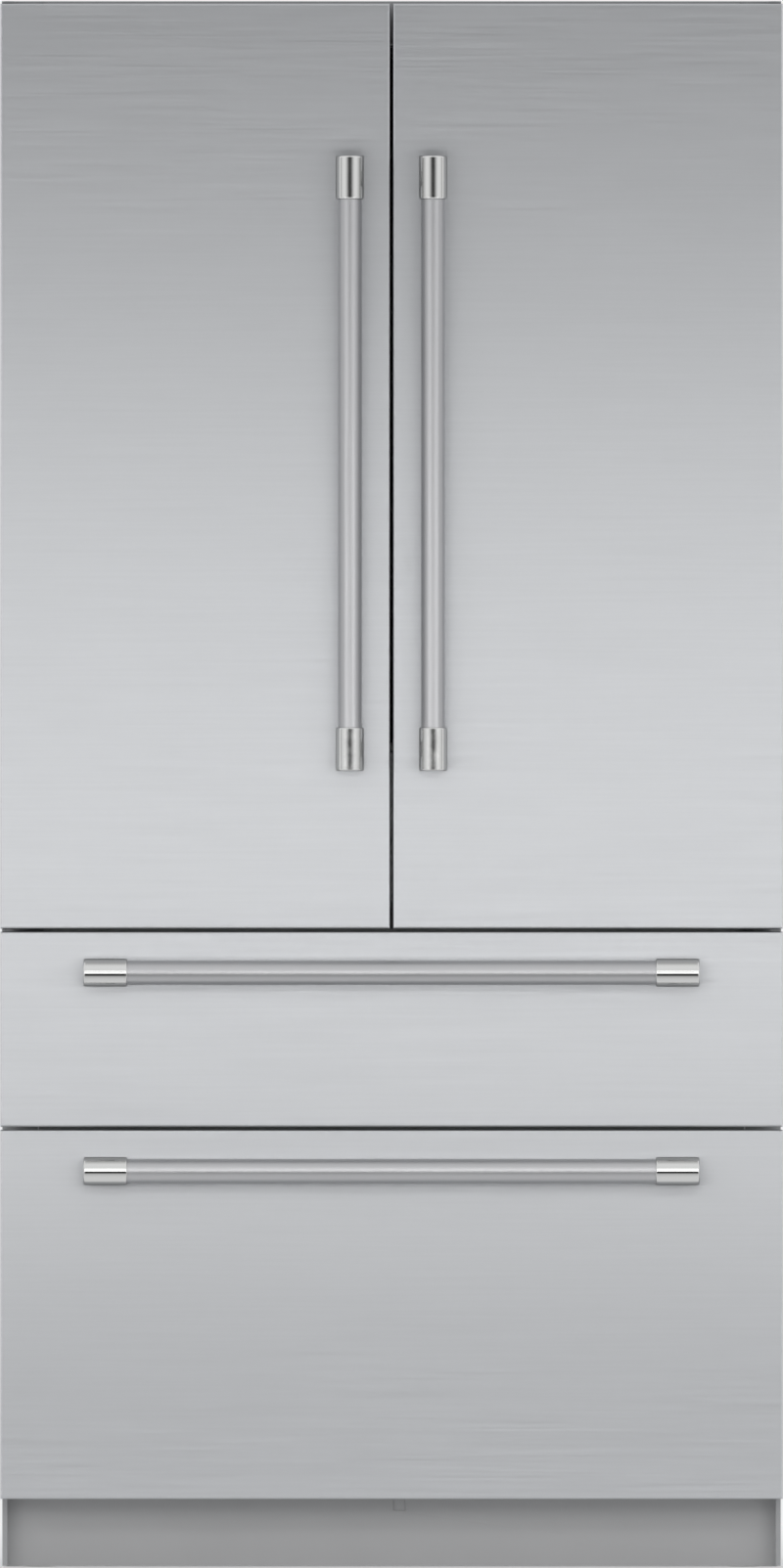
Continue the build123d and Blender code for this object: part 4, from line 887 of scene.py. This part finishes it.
# %% Console, lamp lens and keys
low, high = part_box("control_console")
border_width, lower_bevel = 0.012, 0.006
console = start_block("console_housing", low, high)
pick_faces(console, lambda centre, normal: normal.z < -facing)
bpy.ops.mesh.inset(thickness=border_width)
leave_edit()
pick_edges(console, lambda one, other: max(one.z, other.z) < low.z + same_place
           and max(abs(one.x), abs(other.x)) > high.x - same_place)
bpy.ops.mesh.bevel(offset=lower_bevel, segments=4, profile=0.5)
leave_edit()
round_edges(console, radius=0.002)
finish_piece(console, plastic["console"], "cabinet", ("control_console",))
lens_end, lens_front, lens_back = 0.03, 0.05, 0.015     # in from the edges of the housing
lens_drop, lens_root = 0.003, 0.002
lens = rail("console_lens", (low.x + lens_end, low.y + lens_front, low.z - lens_drop),
            (high.x - lens_end, high.y - lens_back, low.z + lens_root), radius=0.002)
finish_piece(lens, plastic["lens"], "cabinet")
key_pitch, key_row, key_radius, key_height = 0.03, low.y + 0.028, 0.0065, 0.003
keys = []
for place in (-2, -1, 0, 1, 2):
    bpy.ops.mesh.primitive_cylinder_add(vertices=32, radius=key_radius, depth=key_height,
                                        location=(place * key_pitch, key_row, low.z))
    key = bpy.context.object
    key.name = "key"
    settle(key)
    round_edges(key, radius=0.0008)
    keys.append(key)
finish_piece(join(keys, "console_keys"), plastic["lens"], "cabinet")
print("console keys:", len(keys))

# %% [markdown]
# Each shelf has a rounded metal nosing along its front edge, which stops jars and hides the
# edge of the glass. One nosing is made for each shelf, as wide as the rim behind it, and one
# across both crispers for their lid.

# %% Shelf nosings
nosing_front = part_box("shelf_glass")[0].y - 0.0085
nosing_start, nosing_end = 0.007, 0.471         # from the middle of the fridge
nosing_depth, nosing_height, nosing_rise = 0.011, 0.014, 0.0012


def glass_tops(side):
    """Heights of the upper faces of the glass on one side: the crispers' lid, then the shelves."""
    levels = sorted({round(vertex.co.z, 4) for vertex in nodes["shelf_glass"].data.vertices
                     if side * vertex.co.x > 0.1})
    return levels[1::2]


def nosing(left, right, top):
    """A rounded bar along the front edge of one sheet of glass."""
    return rail("nosing", (left, nosing_front, top - nosing_height),
                (right, nosing_front + nosing_depth, top + nosing_rise), radius=0.003)


lid_top, *left_tops = glass_tops(-1)
right_tops = glass_tops(1)[1:]
nosings = [nosing(-nosing_end, -nosing_start, top) for top in left_tops]
nosings += [nosing(nosing_start, nosing_end, top) for top in right_tops]
nosings.append(nosing(-nosing_end, nosing_end, lid_top))
finish_piece(join(nosings, "shelf_nosings"), steel["shelf"], "cabinet")
print("nosings:", len(nosings), "at", [round(top, 3) for top in (lid_top, *left_tops)])

# %% [markdown]
# A large flat sheet drums and buckles, so the back panel has long swages pressed into it. Each
# stands out by just over a millimetre, enough to catch the light. One block gets round ends by
# a bevel of its corner edges, then soft rims, and is copied.

# %% Swages of the back panel
back_face, back_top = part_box("back_panel")[1].yz
cover_low, cover_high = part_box("machine_cover")
swage_places = (-0.387, -0.129, 0.129, 0.387)
swage_half_width, swage_height, swage_margin, swage_root = 0.014, 0.0012, 0.11, 0.0004
end_radius = swage_half_width * 0.97            # nearly half round
first = start_block("swage", (swage_places[0] - swage_half_width, back_face - swage_root,
                              cover_high.z + swage_margin),
                    (swage_places[0] + swage_half_width, back_face + swage_height,
                     back_top - swage_margin))
pick_edges(first, lambda one, other: abs(one.y - other.y) > swage_height / 2)
bpy.ops.mesh.bevel(offset=end_radius, segments=8)
leave_edit()
round_edges(first, radius=0.0007)
swages = repeat(first, [(x - swage_places[0], 0, 0) for x in swage_places[1:]], "back_swages")
finish_piece(swages, steel["zinc"], "cabinet")
print("swages:", len(swage_places), "high", swage_height)

# %% [markdown]
# The mains inlet has three flat pins in its recess. They end below its rim, so that nobody can
# touch them while the plug goes in. Each is a small block with rounded edges, as if cut from
# strip, and starts a little inside the recess's floor, so that no light shows between them.

# %% Pins of the mains inlet
inlet_x, inlet_z, inlet_floor = 0.190, 0.150, back_face - 0.012
pin_half_width, pin_half_height, pin_length, pin_root = 0.001, 0.0024, 0.0095, 0.0005
pin_places = ((-0.007, -0.0015), (0.0, 0.0025), (0.007, -0.0015))
pins = []
for x, z in pin_places:
    middle = Vector((inlet_x + x, inlet_floor, inlet_z + z))
    pin = start_block("pin", middle - Vector((pin_half_width, pin_root, pin_half_height)),
                      middle + Vector((pin_half_width, pin_length, pin_half_height)))
    round_edges(pin, radius=0.0004, segments=2)
    pins.append(pin)
finish_piece(join(pins, "inlet_pins"), steel["plated"], "cabinet")
print("inlet pins:", len(pins))

# %% [markdown]
# Sheet metal at the back is held by pan-head screws. Half a ball, squashed, gives the low dome
# of a head, and its middle is pressed in for the driver. One is modelled and copied along the
# edges of the panels.

# %% Screws
head_radius, head_share = 0.004, 0.55   # its dome is this share of half a ball
drive_starts, drive_rim, drive_depth = 0.0019, 0.0004, 0.0006
bpy.ops.mesh.primitive_uv_sphere_add(segments=20, ring_count=10, radius=head_radius)
head = bpy.context.object
head.name = "screw"
only(head)
bpy.ops.object.mode_set(mode="EDIT")
bpy.ops.mesh.select_all(action="SELECT")
bpy.ops.mesh.bisect(plane_co=(0, 0, 0), plane_no=(0, 0, 1), clear_inner=True, use_fill=True)
bpy.ops.mesh.select_all(action="SELECT")
bpy.ops.transform.resize(value=(1, 1, head_share), center_override=(0, 0, 0))
leave_edit()
pick_faces(head, lambda centre, normal: centre.z > drive_starts)
bpy.ops.mesh.inset(thickness=drive_rim)
bpy.ops.transform.translate(value=(0, 0, -drive_depth))
leave_edit()
head.rotation_euler = Vector((0, 1, 0)).to_track_quat("Z", "Y").to_euler()
settle(head)
smooth(head)
side_column, inner_column = 0.516, 0.258        # from the middle of the back
edge_distance, foot_distance = 0.012, 0.010
rows = (back_top - edge_distance, cover_high.z - edge_distance, cover_low.z + foot_distance)
columns = (-side_column, -inner_column, 0.0, inner_column, side_column)
spots = [(x, z) for x in columns for z in rows]
spots += [(x, z) for x in (-side_column, side_column) for z in (0.6, 1.0, 1.4, 1.8)]
screws = [copy_moved(head, "screw", (x, back_face, z)) for x, z in spots]
bpy.data.objects.remove(head)
finish_piece(join(screws, "back_screws"), steel["plated"], "cabinet")
print("screws:", len(spots))

# %% [markdown]
# The screw heads and swages of the back stand out of the CAD model's box, by less than two
# millimetres.

# %% Import json
import json
